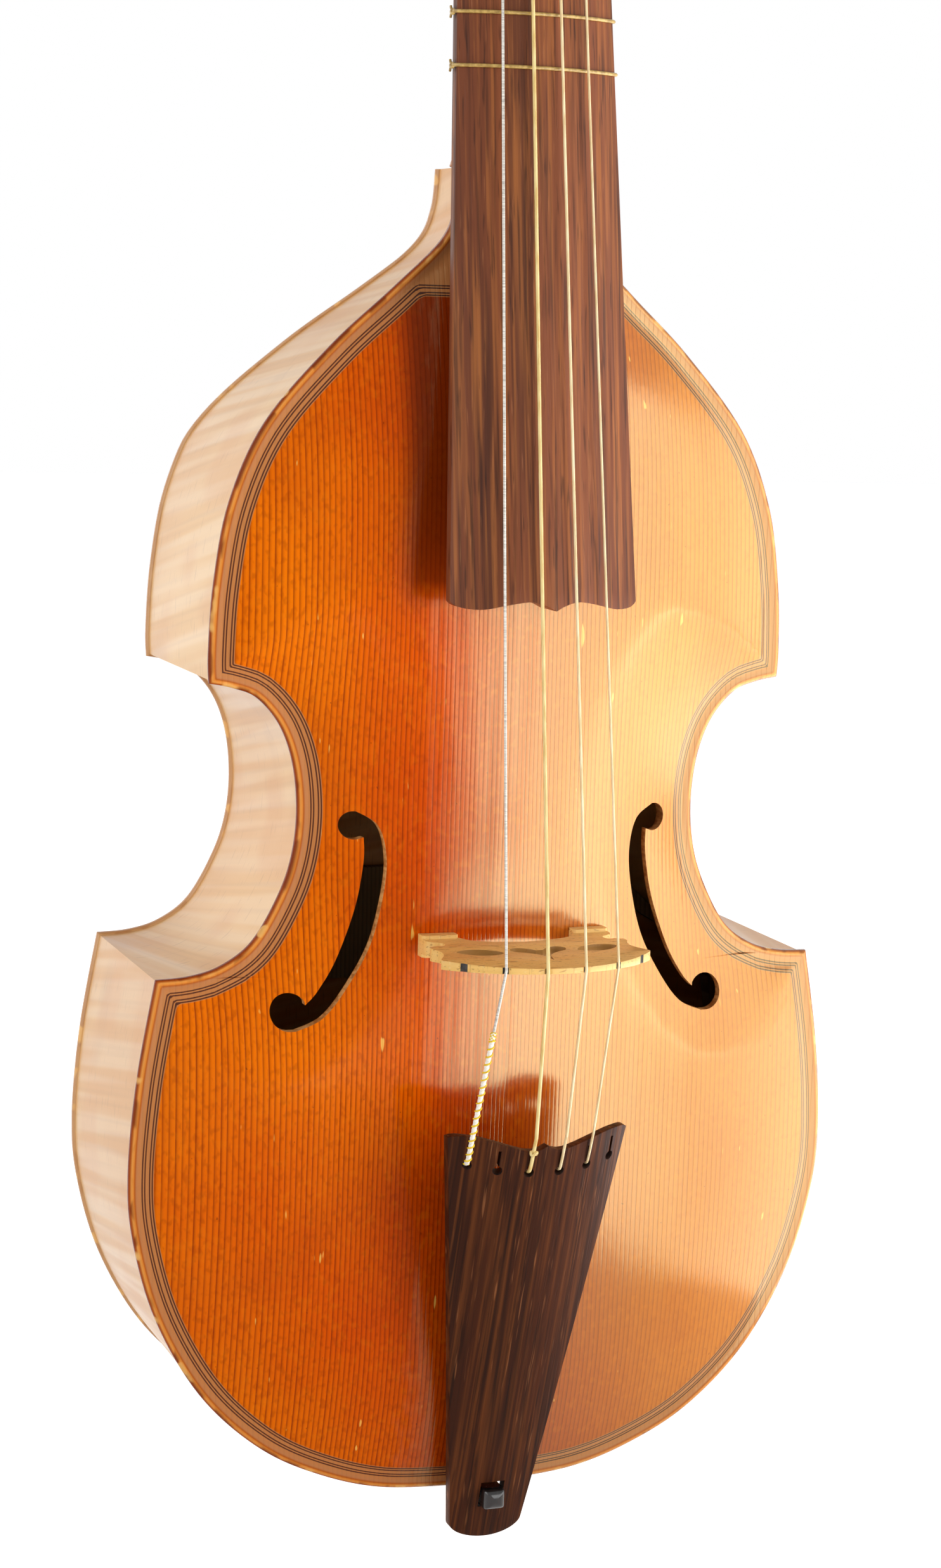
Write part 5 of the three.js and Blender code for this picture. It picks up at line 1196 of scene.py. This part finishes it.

# %% [markdown]
# ## Pegs
#
# Six tapered rosewood pegs turn in the cheeks, three a side. The shaft, collar and waist are turned on a
# lathe, so their profile is spun. The flat thumb piece is carved: a bar of flat oval rings, wide in the
# middle. Each peg rides on its own body.

# %% Pegs
THUMB = [(0, 0.24), (0.1, 0.42), (0.3, 0.86), (0.55, 1.0), (0.78, 0.9), (0.93, 0.6), (1.0, 0.16)]
THUMB_HALF, THUMB_LENGTH, THUMB_START, THUMB_THIN, THUMB_THICK, THUMB_SQUARE = 10.5, 17, 4.5, 0.6, 1.9, 0.9
PEG_STEPS, TIP_OUT, SHOULDER_OUT = 28, 0.8, 3
TIP_PROFILE = [(0, 0.0), (0, 2.7), (0.5, 3.2)]
HEAD_PROFILE = [(-0.3, 3.9), (0, 4.3), (0.6, 5.1), (1.5, 5.4), (2.4, 5.1), (3.0, 4.2), (3.6, 3.1),
                (5.4, 2.9), (6, 2.9), (6, 0.0)]


def peg_side(index):
    return 1 if index % 2 else -1


def peg_place(index):
    return PEG_FIRST + PEG_SPACING * index


def peg(index):
    side, u = peg_side(index), peg_place(index)
    tip, shoulder = -pegbox_half(u) - TIP_OUT, pegbox_half(u) + SHOULDER_OUT
    profile = [*((tip + a, r) for a, r in TIP_PROFILE), *((shoulder + a, r) for a, r in HEAD_PROFILE)]
    angles = circle(PEG_STEPS)
    rings = []
    for along, share in smooth_line(THUMB, 5):
        thick = THUMB_THIN + THUMB_THICK * min(1.0, share * 1.1) * (1 - 0.35 * along)
        rings.append(in_pegbox(u + THUMB_HALF * share * squared(np.cos(angles), THUMB_SQUARE),
                               PEG_V + thick * np.sin(angles),
                               side * (shoulder + THUMB_START + along * THUMB_LENGTH)))
    bm = turning(profile, in_pegbox(u, PEG_V, 0.0), (side, 0, 0), PEG_STEPS, bar(rings))
    name = f"peg_{index + 1}"
    fit(build(f"{name}_turned", bm, peg_wood, sharp=50), name, name)


for index in range(6):
    peg(index)
print("pegs:", [name for name in FACES if name.startswith("peg")])

# %% [markdown]
# ## Frets
#
# A fret is a piece of gut tied round neck and fingerboard, so that it can be shifted to tune it. Its path
# lies on the fingerboard, drops over its edges and passes round the neck, a little clear of the section that
# the neck has there and of those at both ends of its shift. The knot sits on the bass side, with two short
# ends.

# %% Frets
FRET_RADIUS, FRET_ROOM, FRET_SHIFT, FRET_COUNT = 0.5, 0.52, 3, 7
KNOT_TURNS, KNOT_ALONG, KNOT_HIGH, KNOT_OUT, KNOT_GUT, END_GUT = 2.4, 0.6, 0.8, 0.25, 0.4, 0.36
KNOT_OFF, KNOT_DOWN, GUT_END = 0.8, 0.6, [(0, 0.3, 0), (-0.15, 0.8, -0.3), (-0.1, 1.5, -0.8)]


def fret_path(y):
    """Once round board and neck, with room for the sections that the fret meets when it is shifted."""
    half, edge = board_half(y), board_edge(y)
    one, two = (neck_ring(y + shift, FRET_ROOM)[1:-1] - (0, shift, neck_top(y + shift) - neck_top(y))
                for shift in (-FRET_SHIFT, FRET_SHIFT))
    x = np.where(np.abs(one[:, 0]) > np.abs(two[:, 0]), one[:, 0], two[:, 0])
    round_neck = spots(x, one[:, 1], np.minimum(one[:, 2], two[:, 2]))
    xs = np.linspace(-half, half, 26)
    right, left = ([(s * (half + FRET_ROOM), y, edge - d) for d in (0.2, 1.6, BOARD_EDGE)] for s in (1, -1))
    return np.vstack([spots(xs, y, board_top(xs, y) + FRET_ROOM), right, round_neck, left[::-1]])


def fret(number):
    y = NUT_Y * 2 ** (-number / 12)
    bm = bar(round_rings(fret_path(y), FRET_RADIUS, 10, looped=True), capped=False)
    outer, low = -board_half(y) - KNOT_OFF, board_edge(y) - BOARD_EDGE * KNOT_DOWN
    turns = np.linspace(0, 2 * math.pi * KNOT_TURNS, 40)
    knot = spots(outer + 0.05 + KNOT_OUT * np.cos(turns), y + KNOT_ALONG * np.cos(turns + 0.6),
                 low + KNOT_HIGH * np.sin(turns) + 0.05 * turns)
    bar(round_rings(knot, KNOT_GUT, 8), bm)
    for tilt in (-1, 1):
        end = [(outer + out, y + tilt * along, low + up) for out, along, up in GUT_END]
        bar(round_rings(smooth_line(end, 4), END_GUT, 8), bm)
    name = f"fret_{number}"
    fit(build(f"{name}_gut", bm, gut_fret, sharp=60), name, name)


for number in range(1, FRET_COUNT + 1):
    fret(number)
print("last fret at y:", round(NUT_Y * 2 ** (-FRET_COUNT / 12), 1), "mm")

# %% [markdown]
# ## Bridge
#
# The bridge is sawn from a thin maple board: two feet, waisted legs, a heart and two slanting eyes, and a
# curved top with a slot for each string, blackened with graphite. A flat curve with the openings as inner
# loops fills itself, so it gives the sawn shape at once. It then gets its thickness, more at the feet than
# at the top, and the feet's blocks are joined on.

# %% Bridge's outline
BRIDGE_TOP, BRIDGE_RADIUS, BRIDGE_HALF, FOOT_HALF, FOOT_INNER, FOOT_DEPTH = 126.6, 40, 31, 28, 17.5, 3.1
BRIDGE_FOOT, BRIDGE_LOW_THICKNESS, BRIDGE_TOP_THICKNESS, FOOT_GAP = 84.5, 4.6, 1.5, 0.05
STRING_X, SLOT_HALF, SLOT_DEPTH, SLOT_STAIN = [5.6, 16.5, 26.4], 0.75, 0.55, 0.9
FOOT_SHOULDERS = [(FOOT_HALF, 87.2), (FOOT_HALF - 0.8, 88.1), (FOOT_INNER + 0.6, 88.3), (FOOT_INNER, 87.6)]
LEG_INNER = (17.3, 88.0)
BRIDGE_ARCH = [(0, 95.5), (9.6, 93.8), (14.6, 91.7), (16.4, 89.2)]
BRIDGE_FLANK = [(FOOT_HALF, 88.2), (27.7, 90.4), (26.2, 91.9), (24.4, 93.0), (23.9, 94.6), (24.8, 96.2),
                (27.0, 96.2), (28.9, 97.0), (29.3, 98.9), (28.2, 101.6), (27.9, 104.4), (28.8, 107.4),
                (30.2, 109.8), (BRIDGE_HALF, 111.5)]


def bridge_top(x):
    return BRIDGE_TOP - (BRIDGE_RADIUS - math.sqrt(BRIDGE_RADIUS**2 - x * x))


def foot_height(x):
    """The underside of the bridge's feet, just over the arched belly."""
    x, y = np.array([float(x)]), np.zeros(1)
    return float(belly_top(x, y, edge_distance(x, y))[0]) + FOOT_GAP


def slot_distance(x):
    return min(abs(abs(x) - place) for place in STRING_X)


def bridge_outline():
    right = [*map(tuple, smooth_line(BRIDGE_ARCH, 5)), LEG_INNER, (FOOT_INNER, foot_height(FOOT_INNER)),
             (FOOT_HALF, foot_height(FOOT_HALF)), *map(tuple, smooth_line(BRIDGE_FLANK, 5))]
    for x in np.linspace(BRIDGE_HALF - 0.4, 0, 60, endpoint=False):
        right.append((x, bridge_top(x) - SLOT_DEPTH * max(0.0, 1 - (slot_distance(x) / SLOT_HALF) ** 2)))
    return [*right, (0, bridge_top(0)), *[(-x, h) for x, h in right[:0:-1]]]


# %% Bridge's openings
HEART = [(0, 117), (1.2, 111.5), (4.2, 108.4), (7.6, 106.4), (8.2, 103.8), (6.2, 102.2), (3.2, 103.2),
         (1, 105.6)]
EYE_X, EYE_H, EYE_HALF, EYE_HEIGHT, EYE_SLANT, EYE_SHEAR, EYE_ROUND = 17.4, 105.5, 6.4, 3.3, 0.25, 0.2, 1.25


def bridge_openings():
    heart = smooth_line(HEART, 4)
    loops = [[*map(tuple, heart), *[(-x, h) for x, h in heart[:0:-1]]]]
    u, v = EYE_HALF * np.cos(circle(32)), EYE_HEIGHT * squared(np.sin(circle(32)), EYE_ROUND)
    for side in (-1, 1):
        loops.append(list(zip(side * (EYE_X + u + v * EYE_SHEAR), EYE_H - u * EYE_SLANT + v)))
    return loops


def in_opening(x, h):
    """Whether a wall belongs to an opening, and not to the bridge's outer edge."""
    eye = ((x - EYE_X) / EYE_HALF) ** 2 + ((h - EYE_H) / EYE_HEIGHT) ** 2 < 2
    return eye or (x < HEART[4][0] + 1 and HEART[5][1] - 1 < h < HEART[0][1] + 1)


# %% Saw the bridge
def sawn_board(loops):
    """A flat curve with openings, filled and made a bmesh, one millimetre thick about its middle."""
    curve = bpy.data.curves.new("bridge_outline", "CURVE")
    curve.dimensions, curve.fill_mode, curve.extrude, curve.resolution_u = "2D", "BOTH", 0.5, 1
    for loop in loops:
        spline = curve.splines.new("POLY")
        spline.points.add(len(loop) - 1)
        for place, (x, h) in zip(spline.points, loop):
            place.co = (x, h, 0, 1)
        spline.use_cyclic_u = True
    flat = bpy.data.objects.new("flat", curve)
    bpy.context.scene.collection.objects.link(flat)
    bpy.context.view_layer.update()
    bm = bmesh.new()
    bm.from_mesh(flat.evaluated_get(bpy.context.evaluated_depsgraph_get()).to_mesh())
    bpy.data.objects.remove(flat)
    return bm


def bridge_foot(side):
    face = [*((x, foot_height(x)) for x in np.linspace(FOOT_INNER, FOOT_HALF, 7)), *FOOT_SHOULDERS]
    rings = [[(side * x, y, h) for x, h in face] for y in (-FOOT_DEPTH, FOOT_DEPTH)]
    return build("foot", bar(rings), bridge_maple)


def bridge():
    bm = sawn_board([bridge_outline(), *bridge_openings()])
    for vert in bm.verts:
        x, h, deep = vert.co
        share = min(max((h - BRIDGE_FOOT) / (BRIDGE_TOP - BRIDGE_FOOT), 0), 1)
        vert.co = bench((x, deep * between(BRIDGE_LOW_THICKNESS, BRIDGE_TOP_THICKNESS, share), h))
    made = build("bridge_cut", bm, bridge_maple, graphite, opening_shade_maple)
    cut(made, bridge_foot(1), bridge_foot(-1), operation="UNION")
    soften(made, 0.3, 2, 50)
    # Slots get graphite; the walls of the openings get the darker maple, painted shade in the openings.
    for polygon in made.data.polygons:
        x, height = polygon.center.x / MM, -polygon.center.y / MM
        if slot_distance(x) < SLOT_HALF and height > bridge_top(min(abs(x), 30)) - SLOT_STAIN:
            polygon.material_index = 1
        elif abs(polygon.normal.z) < 0.5 and in_opening(abs(x), height):
            polygon.material_index = 2
    fit(made, "bridge")


bridge()
print("bridge faces:", FACES["bridge_cut"])

# %% [markdown]
# ## Tailpiece and hook bar
#
# The tailpiece is a tapered rosewood plate, rounded across, with its top edge cut to the same ogee as the
# fingerboard. Each string passes a hole with a slit above it, where its knot catches. Its lower end hooks
# over an ebony bar that stands out of the body's end, through a square hole. The holes are cut after the
# edges are rounded, so their own edges stay crisp, and their walls get a darker tone: painted shade in the
# holes.

# %% Tailpiece
TAIL_TOP, TAIL_BOTTOM, TAIL_TIP, TAIL_TOP_HALF, TAIL_BOTTOM_HALF = -49.4, -175, 4.8, 26.7, 11.1
TAIL_OGEE_DEPTH, TAIL_HOLE_DOWN, TAIL_HOLE_SAG, TAIL_HOLE_SPREAD = 3.4, 7.8, 2.3, 21.3
TAIL_RADIUS, TAIL_THICKNESS, TAIL_TOP_HEIGHT, TAIL_BOTTOM_HEIGHT = 45, 3.4, 46, 7.6
TAIL_OGEE = [(1, 0), (0.94, 0.2), (0.85, 0.24), (0.7, 0.12), (0.5, -0.3), (0.3, -0.8), (0.18, -1),
             (0.08, -0.9), (0, -0.55)]
HOLE_SHARES, HOLE_RADIUS, HOLE_RIM, HOLE_LEAN = [0.212, 0.625, 1], 1.15, 1.55, -0.3
HOLE_PROFILE = [(-6, 0), (-6, HOLE_RADIUS), (-0.6, HOLE_RADIUS), (0.3, HOLE_RIM), (1.5, HOLE_RIM), (1.5, 0)]
SLIT_HALF, SLIT_LENGTH, SLIT_REACH, SQUARE_ROOM, SQUARE_ABOVE = 0.4, 6, 9, 0.35, 1.7
THROUGH_TAIL = (65, 110)

tail_half = along_body(TAIL_TOP, TAIL_BOTTOM, TAIL_TOP_HALF, TAIL_BOTTOM_HALF)
tail_middle = along_body(TAIL_TOP, TAIL_BOTTOM,
                         BODY_DEPTH + TAIL_TOP_HEIGHT, BODY_DEPTH + TAIL_BOTTOM_HEIGHT)


def tail_top(x, y):
    return tail_middle(y) - TAIL_RADIUS + np.sqrt(TAIL_RADIUS**2 - x**2)


def tail_hole(place, side):
    share = HOLE_SHARES[place]
    return side * share * TAIL_HOLE_SPREAD, TAIL_TOP - TAIL_HOLE_DOWN - TAIL_HOLE_SAG * (1 - share**2)


def hole_cutters(x, y):
    top = tail_top(x, y)
    round_hole = turning(HOLE_PROFILE, (x, y, top), (x / TAIL_RADIUS, HOLE_LEAN, 1.0), 24)
    slit = block("slit", (x - SLIT_HALF, x + SLIT_HALF), (y, y + SLIT_LENGTH),
                 (top - SLIT_REACH, top + SLIT_REACH), hole_shade_wood)
    return build("hole", round_hole, hole_shade_wood), slit


def tailpiece():
    ogee = ogee_line(TAIL_OGEE)
    tail = build("tailpiece_wood", long_plate(
        lambda u: TAIL_BOTTOM - TAIL_TIP * np.sqrt(np.clip(1 - u * u, 0, 1)),
        lambda u: TAIL_TOP + TAIL_OGEE_DEPTH * ogee(u), tail_half, tail_top,
        lambda x, y: tail_top(x, y) - TAIL_THICKNESS), tail_wood, hole_shade_wood)
    soften(tail, 0.6, 3)
    for side in (-1, 1):
        for place in range(3):
            cut(tail, *hole_cutters(*tail_hole(place, side)))
    half = HOOK_HALF + SQUARE_ROOM
    cut(tail, block("square", (-half, half), (HOOK_LOW - SQUARE_ROOM, HOOK_HIGH + SQUARE_ABOVE),
                    THROUGH_TAIL, hole_shade_wood))
    shade(tail, 42)
    fit(tail, "tailpiece")


tailpiece()
print("tailpiece faces:", FACES["tailpiece_wood"])

# %% Hook bar
HOOK_PROFILE = [(3.4, 1), (80, 1), (83.9, 1), (84.6, 0.985), (85.3, 0.93), (85.9, 0.82), (86.4, 0.64),
                (86.7, 0.4), (86.8, 0.15)]
HOOK_SQUARENESS = 0.24


def hook_bar():
    """A square bar with soft corners and a pillowed top: rings of a squared circle."""
    middle, deep = (HOOK_LOW + HOOK_HIGH) / 2, (HOOK_HIGH - HOOK_LOW) / 2
    across, along = (squared(wave(circle(48)), HOOK_SQUARENESS) for wave in (np.cos, np.sin))
    rings = [spots(HOOK_HALF * share * across, middle + deep * share * along, h)
             for h, share in HOOK_PROFILE]
    fit(build("hook_bar_ebony", bar(rings), ebony, sharp=60), "hook_bar")


hook_bar()
print("hook bar stands out to h:", HOOK_PROFILE[-1][0], "mm")

# %% [markdown]
# ## Strings
#
# Four strings are left on this viol. Each starts in a knot behind its tailpiece hole, comes up through it,
# runs over bridge and nut, and winds three times round its peg. Such a run is one path, so each string is
# one round bar. The bass string's lower end is lapped with white silk and a yellow thread wound over it in a
# spiral.

# %% String paths
# Each string's name, place on the bridge, hole in the tailpiece, side, radius, peg and material.
STRINGS = [
    ("string_bass", 1, 2, -1, 0.42, 2, wound_silver),
    ("string_middle_bass", 0, 0, -1, 0.52, 4, gut_gold),
    ("string_middle_treble", 0, 0, 1, 0.41, 5, gut_pale),
    ("string_treble", 1, 1, 1, 0.36, 3, gut_pale),
]
BRIDGE_SPREAD, NUT_SHARES, NUT_SPREAD = 26.4, [0.2, 0.6, 1], 17.4
# Where a string rises in its hole: how far towards the hole's upper wall, and how far over the top.
OVER_TAIL, STRING_RISE, RISE_OUT, STRING_SEAT = 0.75, [(0.5, -5.5), (0.5, -2.5), (0.7, -0.3)], 2.2, 0.6


def tail_start(hole, side, radius):
    """From the knot up through the hole and out over the tailpiece's top edge."""
    x, y = tail_hole(hole, side)
    top, out = tail_top(x, y), HOLE_RADIUS - 0.05 - radius
    edge_y = TAIL_TOP + TAIL_OGEE_DEPTH / 3
    return smooth_line([*((x, y + out * share, top + up) for share, up in STRING_RISE),
                        (x, y + RISE_OUT, top + OVER_TAIL + radius),
                        (x, edge_y, tail_top(x, edge_y) + radius + OVER_TAIL)], 6)


# %% Turns round a peg
PEG_TIP_RADIUS, PEG_HEAD_RADIUS, COIL_TURNS, COIL_INWARDS, COIL_ROOM, COIL_GAP = 3.2, 3.9, 3, 0.55, 0.12, 0.5


def peg_coil(leaving, nut_x, side, radius, index):
    """Turns round a peg, from where the string's line from the nut touches it."""
    u, half = peg_place(index), pegbox_half(peg_place(index))
    local = leaving - in_pegbox(0, 0, 0)
    du = local[1] * math.cos(TILT) - local[2] * math.sin(TILT) - u
    dv = local[1] * math.sin(TILT) + local[2] * math.cos(TILT) - PEG_V
    first_x = nut_x * COIL_INWARDS
    share = (peg_side(index) * first_x + half) / (2 * half + SHOULDER_OUT)
    reach = between(PEG_TIP_RADIUS, PEG_HEAD_RADIUS, share) + COIL_ROOM + radius
    first = math.atan2(dv, du) - math.acos(reach / math.hypot(du, dv))
    turns = np.linspace(0, COIL_TURNS, 150)
    angles = first - 2 * np.pi * turns
    return in_pegbox(u + reach * np.cos(angles), PEG_V + reach * np.sin(angles),
                     first_x + side * (2 * radius + COIL_GAP) * turns)


# %% A string's whole path
def string_path(place, hole, side, radius, index):
    start = tail_start(hole, side, radius)
    bridge_x, nut_x = side * HOLE_SHARES[place] * BRIDGE_SPREAD, side * NUT_SHARES[place] * NUT_SPREAD
    at_bridge = np.array([bridge_x, 0, bridge_top(abs(bridge_x)) + radius * STRING_SEAT])
    at_nut = np.array([nut_x, NUT_Y, board_top(nut_x, NUT_Y) + NUT_HEIGHT])
    leaving = at_nut + (at_nut - at_bridge) / np.linalg.norm(at_nut - at_bridge) * NUT_LENGTH
    coil = peg_coil(leaving, nut_x, side, radius, index)
    to_bridge, to_nut, to_peg = (np.linspace(0, 1, n)[1:-1, None] for n in (12, 90, 40))
    return np.vstack([start, between(start[-1], at_bridge, to_bridge), at_bridge,
                      between(at_bridge, at_nut, to_nut), at_nut, leaving,
                      between(leaving, coil[0], to_peg), coil])


def tail_knot(bm, centre, size, thick):
    """A small tight knot: two and a half turns round a point."""
    turns = np.linspace(0, 2.5 * 2 * math.pi, 48)
    bar(round_rings(centre + size * spots(np.cos(turns), 0.5 * np.sin(2 * turns), 0.8 * np.sin(turns)),
                    thick, 8), bm)


# %% Strings
KNOT_SIZE, KNOT_THICK = 1.2, 0.95
# The middle bass string has one more knot over the tailpiece: its place, size and thickness.
MORE_DOWN, MORE_UP, MORE_SIZE, MORE_THICK = 3.6, 1.3, 0.85, 0.45

paths = {}
for name, place, hole, side, radius, index, material in STRINGS:
    paths[name] = string_path(place, hole, side, radius, index)
    bm = bar(round_rings(paths[name], radius, 10))
    tail_knot(bm, paths[name][0], KNOT_SIZE, radius * KNOT_THICK)
    if name == "string_middle_bass":
        x, y = tail_hole(0, -1)[0], TAIL_TOP - MORE_DOWN
        tail_knot(bm, (x, y, tail_top(x, y) + MORE_UP), MORE_SIZE, MORE_THICK)
    fit(build(f"{name}_gut", bm, material, sharp=60), name)
print("strings:", list(paths))

# %% Silk
SILK_START, SILK_END, OVER_PLATE = TAIL_TOP - 9.5, -17, 105
SILK_RADIUS, THREAD_RADIUS, THREAD_EVERY, THREAD_CLOSE = 0.68, 0.24, 2.3, 2.2


def silk():
    """The white lapping, and a yellow thread round it, which lies close at both ends."""
    path = paths["string_bass"]
    kept = path[(path[:, 1] > SILK_START) & (path[:, 1] < SILK_END) & (path[:, 2] > OVER_PLATE)]
    line, where = even_points(kept, 130)
    lapping = bar(round_rings(line, SILK_RADIUS + 0.05 * np.sin(where * 5), 12))
    fit(build("silk_lapping", lapping, silk_white, sharp=80), None)
    close = np.minimum(where, where[-1] - where) < THREAD_CLOSE
    pace = np.where(close, 2 * THREAD_RADIUS, THREAD_EVERY)
    turned = np.concatenate([[0], np.cumsum(np.diff(where) / pace[1:])])
    dense = np.linspace(0, where[-1], int(turned[-1] * 12))
    angle = 2 * np.pi * np.interp(dense, where, turned)
    middle = np.stack([np.interp(dense, where, column) for column in line.T], -1)
    first = np.cross(line[-1] - line[20], (1, 0, 0))
    first /= np.linalg.norm(first)
    second = np.cross(line[-1] - line[20], first)
    second /= np.linalg.norm(second)
    out = np.outer(np.cos(angle), first) + np.outer(np.sin(angle), second)
    thread = bar(round_rings(middle + (SILK_RADIUS + 0.1) * out, THREAD_RADIUS, 6))
    fit(build("silk_thread", thread, silk_yellow, sharp=80), None)


silk()
print("silk ends at y:", SILK_END, "mm")

# %% [markdown]
# ## Inside the body
#
# Blocks, linings, bass bar, sound post and braces can be glimpsed through the sound holes. Their plain CAD
# shapes are right as they are, so they stay and only get bare spruce, unvarnished and dull.

# %% Inner pieces
inner = [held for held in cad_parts.values() if not held.hide_render]
for held in inner:
    held.data.materials.clear()
    held.data.materials.append(raw_spruce)
print("inner pieces:", len(inner))

# %% [markdown]
# ## Faces made
#
# The faces of every piece made here are counted. The dressed model must stay in the CAD
# model's box.

# %% Finish
print("faces made:", sum(FACES.values()))
